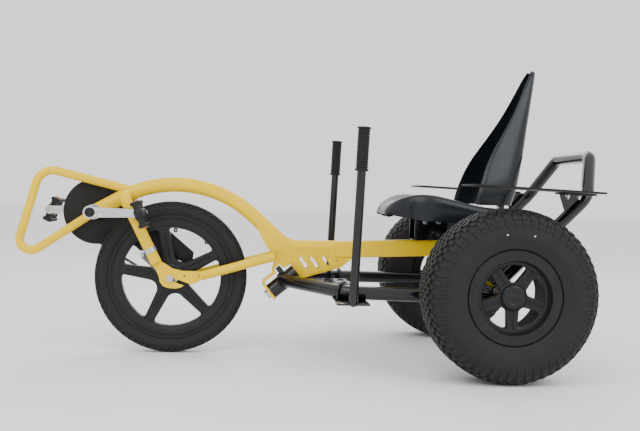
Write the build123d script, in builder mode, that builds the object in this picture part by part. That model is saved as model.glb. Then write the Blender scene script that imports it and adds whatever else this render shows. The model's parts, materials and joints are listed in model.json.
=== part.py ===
from build123d import *
from math import asin, atan2, cos, degrees, hypot, pi, radians, sin, sqrt, tan
import os

# Three-wheeled pedal go kart. Front is -X, the rider's left is -Y, +Z is up.
# The origin lies on the ground under the centre of the overall box.

# ---- Driving dimensions (mm) ----
WHEELBASE = 913
TRACK = 720
FRONT_REACH = 455  # front axle to the foremost face of the bumper
REAR_REACH = 325  # rear axle to the rearmost face of the roll bar

FRONT_TYRE_D = 448
FRONT_TYRE_W = 50
FRONT_BEAD_D = 355
REAR_TYRE_D = 460
REAR_TYRE_W = 165
REAR_BEAD_D = 203
SPOKES = 5

ARCH_GAP = 112  # arch centre line above the front tyre
ARCH_TUBE_D = 43
FORK_TUBE_D = 33
STAY_TUBE_D = 27
BUMPER_TUBE_D = 25
SIDE_TUBE_D = 38
AXLE_TUBE_D = 38
ROLL_TUBE_D = 36
LEVER_TUBE_D = 24
TUBE_WALL = 2.5
BEAM_H = 50
BEAM_W = 40
NECK_Z = 321  # height of the level stretch of the arch tube

CHAIN_PITCH = 12.7
CHAINRING_TEETH = 38
SPROCKET_TEETH = 16
CHAIN_Y = 36
CRANK_LENGTH = 150
DROPOUT_Y = 57  # inner face of a dropout plate
PLATE_T = 6

STEER_ANGLE = 39.5  # pivot axis above the level, rising to the rear
PIVOT_SLEEVE_D = 48
PIVOT_SLEEVE_L = 96
PIVOT_BOLT_D = 16

FRONT_AXLE_D = 10
REAR_AXLE_D = 17
LEVER_TRACK = 662
GRIP_D = 33
GRIP_L = 117
SEAT_HALF_W = 165
RUN_CLEAR = 0.05  # radial clearance of a running fit
GAP = 0.3  # face clearance between pieces that move past each other

# ---- Places that follow from them ----
FRONT_R = FRONT_TYRE_D / 2
REAR_R = REAR_TYRE_D / 2
REAR_X = (WHEELBASE + FRONT_REACH + REAR_REACH) / 2 - REAR_REACH
FRONT_X = REAR_X - WHEELBASE
FRONT_AXLE = (FRONT_X, FRONT_R)
REAR_AXLE = (REAR_X, REAR_R)

ARCH_R = FRONT_R + ARCH_GAP
ARCH_C = (FRONT_X + 13, FRONT_R - 62)
ARCH_FRONT_SLOPE = radians(29.65)
ARCH_REAR_SLOPE = radians(41.7)
ARCH_RUN = 84.9  # straight stretch between the bottom bracket and the arch
BB = (
    ARCH_C[0] - ARCH_R * sin(ARCH_FRONT_SLOPE) - ARCH_RUN * cos(ARCH_FRONT_SLOPE),
    ARCH_C[1] + ARCH_R * cos(ARCH_FRONT_SLOPE) - ARCH_RUN * sin(ARCH_FRONT_SLOPE),
)
half_turn = (ARCH_FRONT_SLOPE + ARCH_REAR_SLOPE) / 2
lean = pi / 2 - (ARCH_REAR_SLOPE - ARCH_FRONT_SLOPE) / 2
ARCH_TOP = (
    ARCH_C[0] + ARCH_R / cos(half_turn) * cos(lean),
    ARCH_C[1] + ARCH_R / cos(half_turn) * sin(lean),
)
NECK = (ARCH_TOP[0] + (ARCH_TOP[1] - NECK_Z) / tan(ARCH_REAR_SLOPE), NECK_Z)
BEAM_START = NECK[0] + 148
BEAM_END = REAR_X + 40
BEAM_START_Z = NECK_Z - 5
BEAM_SLOPE = 0.043

PIVOT = (NECK[0] - 4.6, NECK_Z - 105.5)
STEER = radians(STEER_ANGLE)

SIDE_TUBE_Y = TRACK / 2 - 110
SIDE_TUBE_Z = REAR_R - 22  # side tubes pass just under the axle tube's centre
LEVER_X = PIVOT[0] + 172
LEVER_Y = LEVER_TRACK / 2
ROLL_Y = TRACK / 2 - 116
GUARD_Y = CHAIN_Y - 7  # plane of the chain guard, inboard of the chain


def xz(point, y=0):
    """A point of the side view at the given width."""
    return (point[0], y, point[1])


def shift(point, dx, dz):
    """A side-view point moved by dx and dz."""
    return (point[0] + dx, point[1] + dz)


def on_pivot(u, v):
    """A side-view point u along the pivot axis and v square to it."""
    return shift(PIVOT, u * cos(STEER) - v * sin(STEER), u * sin(STEER) + v * cos(STEER))


def side_plane(y, centre=(0, 0)):
    """The side view (local x is X, local y is Z) at width y; it extrudes towards -Y."""
    return Plane(origin=xz(centre, y), x_dir=(1, 0, 0), z_dir=(0, -1, 0))


def wheel_plane(centre, y, outward=-1):
    """A plane through a wheel's axis: local x points outboard, local y is the radius."""
    return Plane(origin=xz(centre, y), x_dir=(0, outward, 0), z_dir=(outward, 0, 0))


def axle_axis(centre):
    """The line across the kart through a side-view point."""
    return Axis(xz(centre), (0, 1, 0))


def tube(points, bends, outer, wall=TUBE_WALL):
    """A hollow tube along straight runs joined by arcs; a wall of 0 makes a solid rod."""
    with BuildPart() as piece:
        with BuildLine() as path:
            if bends:
                FilletPolyline(*points, radius=bends)
            else:
                Polyline(*points)
        with BuildSketch(Plane(origin=path.line @ 0, z_dir=path.line % 0)):
            Circle(outer / 2)
            if wall:
                Circle(outer / 2 - wall, mode=Mode.SUBTRACT)
        sweep()
    return piece.part


def ring(centre, y0, y1, outer, inner):
    """A ring about an axle line, from y0 to y1."""
    with BuildPart() as piece:
        with BuildSketch(side_plane(max(y0, y1), centre)):
            Circle(outer)
            if inner:
                Circle(inner, mode=Mode.SUBTRACT)
        extrude(amount=abs(y1 - y0))
    return piece.part


def hex_nut(centre, y0, y1, across, hole):
    """A hexagonal nut about an axle line, from y0 to y1."""
    with BuildPart() as piece:
        with BuildSketch(side_plane(max(y0, y1), centre)):
            RegularPolygon(across / 2, 6, major_radius=False)
            if hole:
                Circle(hole, mode=Mode.SUBTRACT)
        extrude(amount=abs(y1 - y0))
    return piece.part


PIECES = {}


def keep(name, builder):
    """Names a finished piece and lists it for export."""
    builder.part.label = name
    PIECES[name] = builder.part


def keep_both(name, builder):
    """Keeps a left piece and its mirror image on the right as one piece list entry."""
    with BuildPart() as both:
        add(builder.part)
        mirror(builder.part, about=Plane.XZ)
    keep(name, both)


def keep_pair(name, builder):
    """Keeps a left piece and its mirror image on the right, which turns by itself."""
    with BuildPart() as other:
        mirror(builder.part, about=Plane.XZ)
    keep(name + "_left", builder)
    keep(name + "_right", other)


# ---- Front frame ----
BB_SHELL_D = 42
BB_SHELL_HALF = GUARD_Y - 2
arch_path = [xz(BB), xz(ARCH_TOP), xz(NECK), (BEAM_START, 0, NECK_Z)]
ARCH_BENDS = [ARCH_R, 90]
arch_rod = tube(arch_path, ARCH_BENDS, ARCH_TUBE_D, 0)
bb_rod = ring(BB, -BB_SHELL_HALF, BB_SHELL_HALF, BB_SHELL_D / 2, 0)

with BuildPart() as bottom_bracket_shell:
    add(ring(BB, -BB_SHELL_HALF, BB_SHELL_HALF, BB_SHELL_D / 2, BB_SHELL_D / 2 - 4))
keep("bottom_bracket_shell", bottom_bracket_shell)

with BuildPart() as arch_tube:
    add(tube(arch_path, ARCH_BENDS, ARCH_TUBE_D))
    add(bb_rod, mode=Mode.SUBTRACT)
keep("arch_tube", arch_tube)


def beam_z(x):
    """Centre height of the seat beam at x."""
    return BEAM_START_Z + BEAM_SLOPE * (x - BEAM_START)


def beam_top(x):
    """Height of the seat beam's upper face at x."""
    return beam_z(x) + BEAM_H / 2 * sqrt(1 + BEAM_SLOPE**2)


with BuildPart() as seat_beam:
    beam_run = (BEAM_END - BEAM_START) * sqrt(1 + BEAM_SLOPE**2)
    beam_front = Plane(
        origin=(BEAM_START, 0, BEAM_START_Z), x_dir=(0, 1, 0), z_dir=(1, 0, BEAM_SLOPE)
    )
    with BuildSketch(beam_front):
        RectangleRounded(BEAM_W, BEAM_H, 5)
        RectangleRounded(BEAM_W - 2 * TUBE_WALL, BEAM_H - 2 * TUBE_WALL, 3, mode=Mode.SUBTRACT)
    extrude(amount=beam_run)
    with BuildSketch(Plane.YZ.offset(BEAM_START)):
        with Locations((0, NECK_Z)):
            Rectangle(2 * BEAM_W, 3 * BEAM_H)
    extrude(amount=-BEAM_H, mode=Mode.SUBTRACT)
keep("seat_beam", seat_beam)

# Bumper: one bent tube from the arch round the pedals to the bottom bracket.
BUMPER_NOSE_BEND = 33
BUMPER_TOP_BEND = 50
bumper_front_x = FRONT_X - FRONT_REACH
bumper_path = [
    xz(shift(BB, 104, 66)),
    xz((bumper_front_x + 69, BB[1] + 127)),
    xz((bumper_front_x - 10.5, BB[1] - 164)),
    xz(BB),
]
with BuildPart() as bumper_loop:
    add(tube(bumper_path, [BUMPER_TOP_BEND, BUMPER_NOSE_BEND], BUMPER_TUBE_D))
    add(arch_rod, mode=Mode.SUBTRACT)
    add(bb_rod, mode=Mode.SUBTRACT)
keep("bumper_loop", bumper_loop)

# Fork legs: out of the side of the arch, then down to the dropouts.
FORK_Y = DROPOUT_Y + PLATE_T / 2
CROWN = shift(BB, 89.5, 49.5)
LEG_FOOT = shift(FRONT_AXLE, -40, 45)
with BuildPart() as fork_leg:
    add(tube([xz(CROWN, -1), xz(CROWN, -FORK_Y), xz(LEG_FOOT, -FORK_Y)], [32], FORK_TUBE_D))
    add(arch_rod, mode=Mode.SUBTRACT)
    with BuildSketch(side_plane(FORK_TUBE_D, CROWN)):
        Circle(FORK_TUBE_D)
    extrude(amount=FORK_TUBE_D, mode=Mode.SUBTRACT)
keep_both("fork_legs", fork_leg)

# Dropout plates carry the front axle in a slot that opens to the rear.
AXLE_SLOT_W = FRONT_AXLE_D + 0.4
STAY_FOOT = shift(FRONT_AXLE, 86, 8)
STAY_HEAD = shift(NECK, -36, -28)
NECK_PLATE_Y = 16  # inner face of a neck plate
STAY_HEAD_Y = NECK_PLATE_Y + 4 + STAY_TUBE_D / 2
leg_line = atan2(CROWN[1] - LEG_FOOT[1], CROWN[0] - LEG_FOOT[0])
leg_side = (-sin(leg_line) * FORK_TUBE_D / 2.4, cos(leg_line) * FORK_TUBE_D / 2.4)
with BuildPart() as dropout:
    with BuildSketch(side_plane(-DROPOUT_Y, FRONT_AXLE)):
        Polygon(
            (-40 + leg_side[0], 45 + leg_side[1]),
            (-41, 27),
            (-31, 5),
            (-28, -10),
            (-20, -21),
            (-7, -27),
            (16, -29),
            (34, -25),
            (39, -20),
            (50, -20),
            (65, -15),
            (86, -8),
            (86, 23),
            (36, 23),
            (7, 30),
            (-13, 42),
            (-40 - leg_side[0], 45 - leg_side[1]),
            align=None,
        )
        with Locations(Rotation(0, 0, -19)):
            with Locations((30, 0)):
                SlotOverall(60 + AXLE_SLOT_W, AXLE_SLOT_W, mode=Mode.SUBTRACT)
        with Locations((42, 8)):
            Circle(2.5, mode=Mode.SUBTRACT)
    extrude(amount=PLATE_T)
    add(
        tube([xz(CROWN, -FORK_Y), xz(LEG_FOOT, -FORK_Y)], [], FORK_TUBE_D, 0),
        mode=Mode.SUBTRACT,
    )
keep_both("dropouts", dropout)

with BuildPart() as lower_stay:
    add(tube([xz(STAY_FOOT, -FORK_Y), xz(STAY_HEAD, -STAY_HEAD_Y)], [], STAY_TUBE_D))
    with BuildSketch(side_plane(-DROPOUT_Y, FRONT_AXLE)):
        with Locations((66, 5)):
            Rectangle(40, 80)
    extrude(amount=PLATE_T, mode=Mode.SUBTRACT)
keep_both("lower_stays", lower_stay)

# Neck plates: a pair of slotted gussets that carry the pivot bracket under the arch.
PIVOT_PLATE_T = 7
TOP_PLATE_U = PIVOT_SLEEVE_L / 2 + GAP
LUG_TOP_V = 47
STRAP_V = 36
with BuildPart() as neck_plate:
    with BuildSketch(side_plane(-NECK_PLATE_Y)):
        Polygon(
            shift(NECK, -100, 89),
            shift(NECK, -94, 69),
            shift(NECK, -77, 30),
            shift(NECK, -52, -11),
            shift(NECK, -39, -26),
            shift(NECK, -36, -47),
            on_pivot(-3, 53),
            on_pivot(-12, STRAP_V + PIVOT_PLATE_T),
            on_pivot(1, STRAP_V + PIVOT_PLATE_T),
            on_pivot(1, LUG_TOP_V + 4),
            on_pivot(23, LUG_TOP_V + 4),
            on_pivot(23, 36),
            on_pivot(TOP_PLATE_U, 30),
            on_pivot(TOP_PLATE_U + PIVOT_PLATE_T, 30),
            on_pivot(TOP_PLATE_U + PIVOT_PLATE_T, -27),
            shift(NECK, 165, -58),
            (BEAM_START + 55, beam_z(BEAM_START + 55) - BEAM_H / 2),
            (BEAM_START, beam_z(BEAM_START) - BEAM_H / 2),
            (BEAM_START, NECK_Z),
            NECK,
            align=None,
        )
        for slot_x, slot_z, slot_l in ((53, -46, 42), (86, -45, 42), (120, -40, 33)):
            with Locations(Location((*shift(NECK, slot_x, slot_z), 0), (0, 0, -55))):
                SlotOverall(slot_l, 9, mode=Mode.SUBTRACT)
        with Locations(shift(NECK, 152, -38)):
            Circle(3, mode=Mode.SUBTRACT)
    extrude(amount=4)
    add(arch_rod, mode=Mode.SUBTRACT)
keep_both("neck_plates", neck_plate)

BRACKET_HALF_W = 22
with BuildPart() as pivot_bracket:
    low_u = -PIVOT_SLEEVE_L / 2 - GAP
    with BuildSketch(side_plane(BRACKET_HALF_W)):
        Polygon(
            on_pivot(low_u, -PIVOT_SLEEVE_D / 2),
            on_pivot(low_u - PIVOT_PLATE_T, -PIVOT_SLEEVE_D / 2),
            on_pivot(low_u - PIVOT_PLATE_T, STRAP_V),
            on_pivot(low_u, STRAP_V + PIVOT_PLATE_T),
            on_pivot(-1, STRAP_V + PIVOT_PLATE_T),
            on_pivot(-1, STRAP_V),
            on_pivot(low_u, STRAP_V),
            align=None,
        )
    extrude(amount=2 * BRACKET_HALF_W)
    across_axis = Plane(origin=xz(PIVOT), z_dir=(cos(STEER), 0, sin(STEER)))
    with BuildSketch(across_axis.offset(low_u)):
        Circle(PIVOT_BOLT_D / 2)
    extrude(amount=-2 * PIVOT_PLATE_T, mode=Mode.SUBTRACT)

with BuildPart() as pivot_top_plate:
    with BuildSketch(side_plane(NECK_PLATE_Y)):
        Polygon(
            on_pivot(TOP_PLATE_U, -PIVOT_SLEEVE_D / 2),
            on_pivot(TOP_PLATE_U + PIVOT_PLATE_T, -PIVOT_SLEEVE_D / 2),
            on_pivot(TOP_PLATE_U + PIVOT_PLATE_T, 30),
            on_pivot(TOP_PLATE_U, 30),
            align=None,
        )
    extrude(amount=2 * NECK_PLATE_Y)
    with BuildSketch(across_axis.offset(TOP_PLATE_U)):
        Circle(PIVOT_BOLT_D / 2)
    extrude(amount=2 * PIVOT_PLATE_T, mode=Mode.SUBTRACT)

with BuildPart() as pivot_plates:
    add(pivot_bracket.part)
    add(pivot_top_plate.part)
keep("pivot_plates", pivot_plates)

with BuildPart() as pivot_bolt:
    head_u = low_u - PIVOT_PLATE_T
    with BuildSketch(across_axis.offset(head_u)):
        Circle(PIVOT_BOLT_D / 2)
    extrude(amount=TOP_PLATE_U + PIVOT_PLATE_T - head_u + 12)
    with BuildSketch(across_axis.offset(head_u - 10)):
        RegularPolygon(12, 6, major_radius=False)
    extrude(amount=10)

with BuildPart() as pivot_nut:
    with BuildSketch(across_axis.offset(TOP_PLATE_U + PIVOT_PLATE_T)):
        RegularPolygon(12, 6, major_radius=False)
        Circle(PIVOT_BOLT_D / 2, mode=Mode.SUBTRACT)
    extrude(amount=10)

with BuildPart() as pivot_bolt_and_nut:
    add(Compound(children=[pivot_bolt.part.solid(), pivot_nut.part.solid()]))
keep("pivot_bolt_and_nut", pivot_bolt_and_nut)

# ---- Drive ----
axle_dx = FRONT_AXLE[0] - BB[0]
axle_dz = FRONT_AXLE[1] - BB[1]
CENTRES = hypot(axle_dx, axle_dz)
RING_R = CHAIN_PITCH / 2 / sin(pi / CHAINRING_TEETH)
SPROCKET_R = CHAIN_PITCH / 2 / sin(pi / SPROCKET_TEETH)
WRAP = asin((RING_R - SPROCKET_R) / CENTRES)
SPINDLE_R = 8.5
ARM_Y = FORK_Y + FORK_TUBE_D / 2 + 4  # inner face of a crank arm
ARM_T = 12
PEDAL_W = 92


def chain_plane(y):
    """Local x runs from the bottom bracket to the front axle, local y square to it and up."""
    return Plane(
        origin=xz(BB, y),
        x_dir=(axle_dx / CENTRES, 0, axle_dz / CENTRES),
        z_dir=(0, -1, 0),
    )


def chain_area(spread, mode=Mode.ADD):
    """The area inside the chain's pitch line, grown by spread."""
    big = RING_R + spread
    small = SPROCKET_R + spread
    Circle(big, mode=mode)
    with Locations((CENTRES, 0)):
        Circle(small, mode=mode)
    Polygon(
        (big * sin(WRAP), big * cos(WRAP)),
        (CENTRES + small * sin(WRAP), small * cos(WRAP)),
        (CENTRES + small * sin(WRAP), -small * cos(WRAP)),
        (big * sin(WRAP), -big * cos(WRAP)),
        align=None,
        mode=mode,
    )


CHAIN_LINK_H = 8.4
CHAIN_HALF_GAP = 1.7
CHAIN_PLATE_T = 1.6
run_length = CENTRES * cos(WRAP)
with BuildPart() as chain:
    for inner_y in (CHAIN_Y + CHAIN_HALF_GAP + CHAIN_PLATE_T, CHAIN_Y - CHAIN_HALF_GAP):
        with BuildSketch(chain_plane(inner_y)):
            chain_area(CHAIN_LINK_H / 2)
            chain_area(-CHAIN_LINK_H / 2, Mode.SUBTRACT)
        extrude(amount=CHAIN_PLATE_T)
    with BuildSketch(chain_plane(CHAIN_Y + CHAIN_HALF_GAP + 0.5)):
        for side in (1, -1):
            for step in range(2, int(run_length / CHAIN_PITCH) - 1, 3):
                part_way = (step + 0.5) * CHAIN_PITCH / run_length
                pin_r = RING_R + (SPROCKET_R - RING_R) * part_way
                pin_x = CENTRES * part_way + pin_r * sin(WRAP)
                with Locations((pin_x, side * pin_r * cos(WRAP))):
                    Circle(2.5)
    extrude(amount=2 * CHAIN_HALF_GAP + 1)
keep("chain", chain)


def toothed_sketch(teeth, pitch_r):
    """A sprocket outline whose teeth run between the chain's side plates."""
    corners = []
    for tooth in range(teeth):
        for part, radius in ((-0.32, -4.2), (-0.11, 3.4), (0.11, 3.4), (0.32, -4.2)):
            angle = 2 * pi * (tooth + 0.5 + part) / teeth
            corners.append(
                ((pitch_r + radius) * cos(angle), (pitch_r + radius) * sin(angle))
            )
    Polygon(*corners, align=None)


TOOTH_T = 2.2
with BuildPart() as chainring:
    with BuildSketch(side_plane(CHAIN_Y + TOOTH_T / 2, BB)):
        toothed_sketch(CHAINRING_TEETH, RING_R)
        with PolarLocations(RING_R * 0.62, 5):
            Circle(14, mode=Mode.SUBTRACT)
    extrude(amount=TOOTH_T)
    with BuildSketch(side_plane(CHAIN_Y + 5, BB)):
        Circle(17)
    extrude(amount=9.5)
    with BuildSketch(side_plane(CHAIN_Y + 10, BB)):
        Circle(SPINDLE_R)
    extrude(amount=20, mode=Mode.SUBTRACT)
keep("chainring", chainring)

with BuildPart() as chain_guard:
    with BuildSketch(chain_plane(GUARD_Y)):
        Circle(98)
        Polygon(
            (0, 98),
            (CENTRES + 3, 95),
            (CENTRES + 34, 45),
            (CENTRES + 34, 0),
            (CENTRES - 48, 2),
            (98, -6),
            (0, -60),
            align=None,
        )
        with Locations((CENTRES, 0)):
            Circle(50, mode=Mode.SUBTRACT)
        Circle(BB_SHELL_D / 2 - 4, mode=Mode.SUBTRACT)
    extrude(amount=GUARD_Y - BB_SHELL_HALF)
    add(
        tube([xz(CROWN, 1), xz(CROWN, FORK_Y), xz(LEG_FOOT, FORK_Y)], [32], FORK_TUBE_D + GAP, 0),
        mode=Mode.SUBTRACT,
    )
keep("chain_guard", chain_guard)

with BuildPart() as bearing_cups:
    shell_bore = BB_SHELL_D / 2 - 4
    for y0, y1, flange in ((-BB_SHELL_HALF, -15, -2.5), (GUARD_Y, 15, 1.5)):
        add(ring(BB, y0, y1, shell_bore, SPINDLE_R + RUN_CLEAR))
        add(ring(BB, y0, y0 + flange, BB_SHELL_D / 2 + 1, SPINDLE_R + RUN_CLEAR))
keep("bearing_cups", bearing_cups)

with BuildPart() as crank_spindle:
    add(ring(BB, -ARM_Y - ARM_T, ARM_Y + ARM_T, SPINDLE_R, 0))
    for side in (-1, 1):
        face_y = side * (ARM_Y + ARM_T)
        add(ring(BB, face_y, face_y + side * 3, 12.5, 0))
keep("crank_spindle", crank_spindle)


def crank_arm(side):
    """One crank arm; the left points to the rear and the right to the front."""
    toward = -side
    with BuildPart() as arm:
        outer_y = side * ARM_Y if side < 0 else ARM_Y + ARM_T
        with BuildSketch(side_plane(outer_y, BB)):
            Circle(19)
            with Locations((toward * CRANK_LENGTH, 0)):
                Circle(13)
            Polygon(
                (0, 15),
                (toward * CRANK_LENGTH, 11),
                (toward * CRANK_LENGTH, -11),
                (0, -15),
                align=None,
            )
            Circle(SPINDLE_R, mode=Mode.SUBTRACT)
            with Locations((toward * CRANK_LENGTH, 0)):
                Circle(7, mode=Mode.SUBTRACT)
        extrude(amount=ARM_T)
        face_y = side * (ARM_Y + ARM_T)
        with BuildSketch(side_plane(face_y if side > 0 else face_y + 2.5, BB)):
            with Locations((toward * CRANK_LENGTH * 0.52, 0)):
                SlotOverall(CRANK_LENGTH * 0.56, 11)
        extrude(amount=2.5, mode=Mode.SUBTRACT)
    return arm


with BuildPart() as crank_arms:
    add(crank_arm(-1).part)
    add(crank_arm(1).part)
keep("crank_arms", crank_arms)

PEDAL_Y0 = ARM_Y + ARM_T + 5
PEDAL_L = 76
PEDAL_T = 26
PEDAL_SPINDLE_R = 7


def pedal(side, tilt):
    """Body and reflectors of one pedal, its long way tilted from the vertical."""
    centre = shift(BB, -side * CRANK_LENGTH, 0)
    long_way = (sin(radians(tilt)), 0, cos(radians(tilt)))
    thin_way = (cos(radians(tilt)), 0, -sin(radians(tilt)))
    outer_y = -PEDAL_Y0 if side < 0 else PEDAL_Y0 + PEDAL_W
    mid_y = side * (PEDAL_Y0 + PEDAL_W / 2)
    across = Plane(origin=xz(centre, outer_y), x_dir=long_way, z_dir=(0, -1, 0))
    with BuildPart() as body:
        with BuildSketch(across):
            RectangleRounded(PEDAL_L, PEDAL_T, 4)
            Circle(PEDAL_SPINDLE_R + RUN_CLEAR, mode=Mode.SUBTRACT)
        extrude(amount=PEDAL_W)
        top = Plane(origin=xz(centre, mid_y), x_dir=long_way, z_dir=thin_way)
        with BuildSketch(top):
            with Locations((21, 0), (-21, 0)):
                RectangleRounded(14, PEDAL_W - 20, 4)
        extrude(amount=PEDAL_T, both=True, mode=Mode.SUBTRACT)
    with BuildPart() as reflectors:
        for end in (1, -1):
            face = Plane(origin=xz(centre, mid_y), x_dir=(0, 1, 0), z_dir=long_way)
            with BuildSketch(face.offset(end * PEDAL_L / 2)):
                RectangleRounded(52, 16, 3)
            extrude(amount=end * 3)
    return body, reflectors


for side, tilt, name in ((-1, -22, "left"), (1, 22, "right")):
    pedal_body, pedal_reflectors = pedal(side, tilt)
    keep("pedal_body_" + name, pedal_body)
    keep("pedal_reflectors_" + name, pedal_reflectors)

with BuildPart() as pedal_spindles:
    for side in (-1, 1):
        centre = shift(BB, -side * CRANK_LENGTH, 0)
        arm_y = side * (ARM_Y + 1)
        add(ring(centre, arm_y, side * (PEDAL_Y0 + PEDAL_W - 4), PEDAL_SPINDLE_R, 0))
        add(ring(centre, side * (ARM_Y + ARM_T), side * (PEDAL_Y0 - 1), 10, 0))
keep("pedal_spindles", pedal_spindles)

# ---- Front wheel ----
FRONT_BEAD_R = FRONT_BEAD_D / 2
front_axis = axle_axis(FRONT_AXLE)
half_w = FRONT_TYRE_W / 2
with BuildPart() as front_tyre:
    with BuildSketch(wheel_plane(FRONT_AXLE, 0)):
        Polygon(
            (12.7, FRONT_BEAD_R + 0.3),
            (12.7, FRONT_BEAD_R + 6.3),
            (16.5, FRONT_BEAD_R + 8),
            (half_w, FRONT_BEAD_R + 22),
            (half_w, FRONT_R - 17),
            (half_w - 5, FRONT_R - 5),
            (half_w - 14, FRONT_R),
            (14 - half_w, FRONT_R),
            (5 - half_w, FRONT_R - 5),
            (-half_w, FRONT_R - 17),
            (-half_w, FRONT_BEAD_R + 22),
            (-16.5, FRONT_BEAD_R + 8),
            (-12.7, FRONT_BEAD_R + 6.3),
            (-12.7, FRONT_BEAD_R + 0.3),
            (-9, FRONT_BEAD_R + 0.3),
            (-11, FRONT_BEAD_R + 9),
            (5 - half_w, FRONT_BEAD_R + 23),
            (6 - half_w, FRONT_R - 17),
            (15 - half_w, FRONT_R - 9),
            (half_w - 15, FRONT_R - 9),
            (half_w - 6, FRONT_R - 17),
            (half_w - 5, FRONT_BEAD_R + 23),
            (11, FRONT_BEAD_R + 9),
            (9, FRONT_BEAD_R + 0.3),
            align=None,
        )
    revolve(axis=front_axis)
keep("front_tyre", front_tyre)

RIM_INNER_R = FRONT_BEAD_R - 29
HUB_SHELL_R = 22
MAG_HUB_R = 42
MAG_HUB_HALF = 26
SPOKE_ANGLE = 100
with BuildPart() as front_rim:
    with BuildSketch(wheel_plane(FRONT_AXLE, 0)):
        Polygon(
            (16, FRONT_BEAD_R + 6),
            (13, FRONT_BEAD_R + 6),
            (13, FRONT_BEAD_R),
            (-13, FRONT_BEAD_R),
            (-13, FRONT_BEAD_R + 6),
            (-16, FRONT_BEAD_R + 6),
            (-16, FRONT_BEAD_R - 13),
            (-10, RIM_INNER_R),
            (10, RIM_INNER_R),
            (16, FRONT_BEAD_R - 13),
            align=None,
        )
    revolve(axis=front_axis)
    with BuildSketch(side_plane(11, FRONT_AXLE)):
        for spoke in range(SPOKES):
            with Locations(Rotation(0, 0, SPOKE_ANGLE + spoke * 360 / SPOKES)):
                Polygon((30, 23), (RIM_INNER_R + 3, 14), (RIM_INNER_R + 3, -14), (30, -23), align=None)
    extrude(amount=22)
    with BuildSketch(side_plane(MAG_HUB_HALF, FRONT_AXLE)):
        Circle(MAG_HUB_R)
    extrude(amount=2 * MAG_HUB_HALF)
    with BuildSketch(side_plane(2 * MAG_HUB_HALF, FRONT_AXLE)):
        Circle(HUB_SHELL_R)
    extrude(amount=4 * MAG_HUB_HALF, mode=Mode.SUBTRACT)
keep("front_rim", front_rim)

HUB_LEFT_Y = -46
HUB_RIGHT_Y = 42
DRIVER_R = 15
BEARING_R = 12
with BuildPart() as front_hub:
    add(ring(FRONT_AXLE, HUB_LEFT_Y, MAG_HUB_HALF + 2, HUB_SHELL_R, BEARING_R))
    add(ring(FRONT_AXLE, MAG_HUB_HALF + 2, HUB_RIGHT_Y, DRIVER_R, BEARING_R))
keep("front_hub", front_hub)

with BuildPart() as front_bearings:
    for y0 in (HUB_LEFT_Y + 1, HUB_RIGHT_Y - 9):
        add(ring(FRONT_AXLE, y0, y0 + 8, BEARING_R, FRONT_AXLE_D / 2 + RUN_CLEAR))
keep("front_bearings", front_bearings)

with BuildPart() as front_sprocket:
    with BuildSketch(side_plane(CHAIN_Y + TOOTH_T / 2, FRONT_AXLE)):
        toothed_sketch(SPROCKET_TEETH, SPROCKET_R)
        Circle(DRIVER_R, mode=Mode.SUBTRACT)
    extrude(amount=TOOTH_T)
keep("front_sprocket", front_sprocket)

with BuildPart() as front_axle:
    add(ring(FRONT_AXLE, -76, 76, FRONT_AXLE_D / 2, 0))
keep("front_axle", front_axle)

BRAKE_ARM_Y = DROPOUT_Y - 2
BRAKE_ARM_T = 4
with BuildPart() as front_cones:
    bore = FRONT_AXLE_D / 2
    add(ring(FRONT_AXLE, HUB_LEFT_Y - GAP, -BRAKE_ARM_Y + BRAKE_ARM_T, 9, bore))
    add(ring(FRONT_AXLE, -BRAKE_ARM_Y, -DROPOUT_Y, 9, bore))
    add(ring(FRONT_AXLE, HUB_RIGHT_Y + GAP, DROPOUT_Y, 9, bore))
keep("front_cones", front_cones)

with BuildPart() as front_axle_nuts:
    for side in (-1, 1):
        face = side * (DROPOUT_Y + PLATE_T)
        washer = ring(FRONT_AXLE, face, face + side * 1.5, 10, FRONT_AXLE_D / 2)
        add(washer)
        nut_y = face + side * 1.5
        add(hex_nut(FRONT_AXLE, nut_y, nut_y + side * 8, 15, FRONT_AXLE_D / 2))
keep("front_axle_nuts", front_axle_nuts)

# Coaster brake arm: from the hub to a band clamp round the left fork leg.
CLAMP_UP = 85
leg_dir = (cos(leg_line), sin(leg_line))
CLAMP = shift(FRONT_AXLE, -40 + leg_dir[0] * 40, 45 + leg_dir[1] * 40)
BRAKE_EYE = shift(CLAMP, -23, -14)
with BuildPart() as brake_arm:
    eye = (BRAKE_EYE[0] - FRONT_AXLE[0], BRAKE_EYE[1] - FRONT_AXLE[1])
    reach = hypot(*eye)
    with BuildSketch(
        Plane(
            origin=xz(FRONT_AXLE, -BRAKE_ARM_Y + BRAKE_ARM_T),
            x_dir=(eye[0], 0, eye[1]),
            z_dir=(0, -1, 0),
        )
    ):
        Circle(14)
        Polygon((0, 13), (reach, 7), (reach, -7), (0, -13), align=None)
        with Locations((reach, 0)):
            Circle(7)
        Circle(FRONT_AXLE_D / 2, mode=Mode.SUBTRACT)
        with Locations((reach, 0)):
            Circle(3, mode=Mode.SUBTRACT)
    extrude(amount=BRAKE_ARM_T)
    add(
        tube([xz(CROWN, -FORK_Y), xz(LEG_FOOT, -FORK_Y)], [], FORK_TUBE_D, 0),
        mode=Mode.SUBTRACT,
    )

clamp_plane = Plane(origin=xz(CLAMP, -FORK_Y), x_dir=(0, 1, 0), z_dir=(leg_dir[0], 0, leg_dir[1]))
with BuildPart() as brake_clamp:
    with BuildSketch(clamp_plane.offset(-7)):
        Circle(FORK_TUBE_D / 2 + 1.5)
        Circle(FORK_TUBE_D / 2, mode=Mode.SUBTRACT)
    extrude(amount=14)

with BuildPart() as brake_lever:
    add(brake_arm.part)
    add(brake_clamp.part, mode=Mode.SUBTRACT)
keep("brake_lever", brake_lever)

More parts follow.
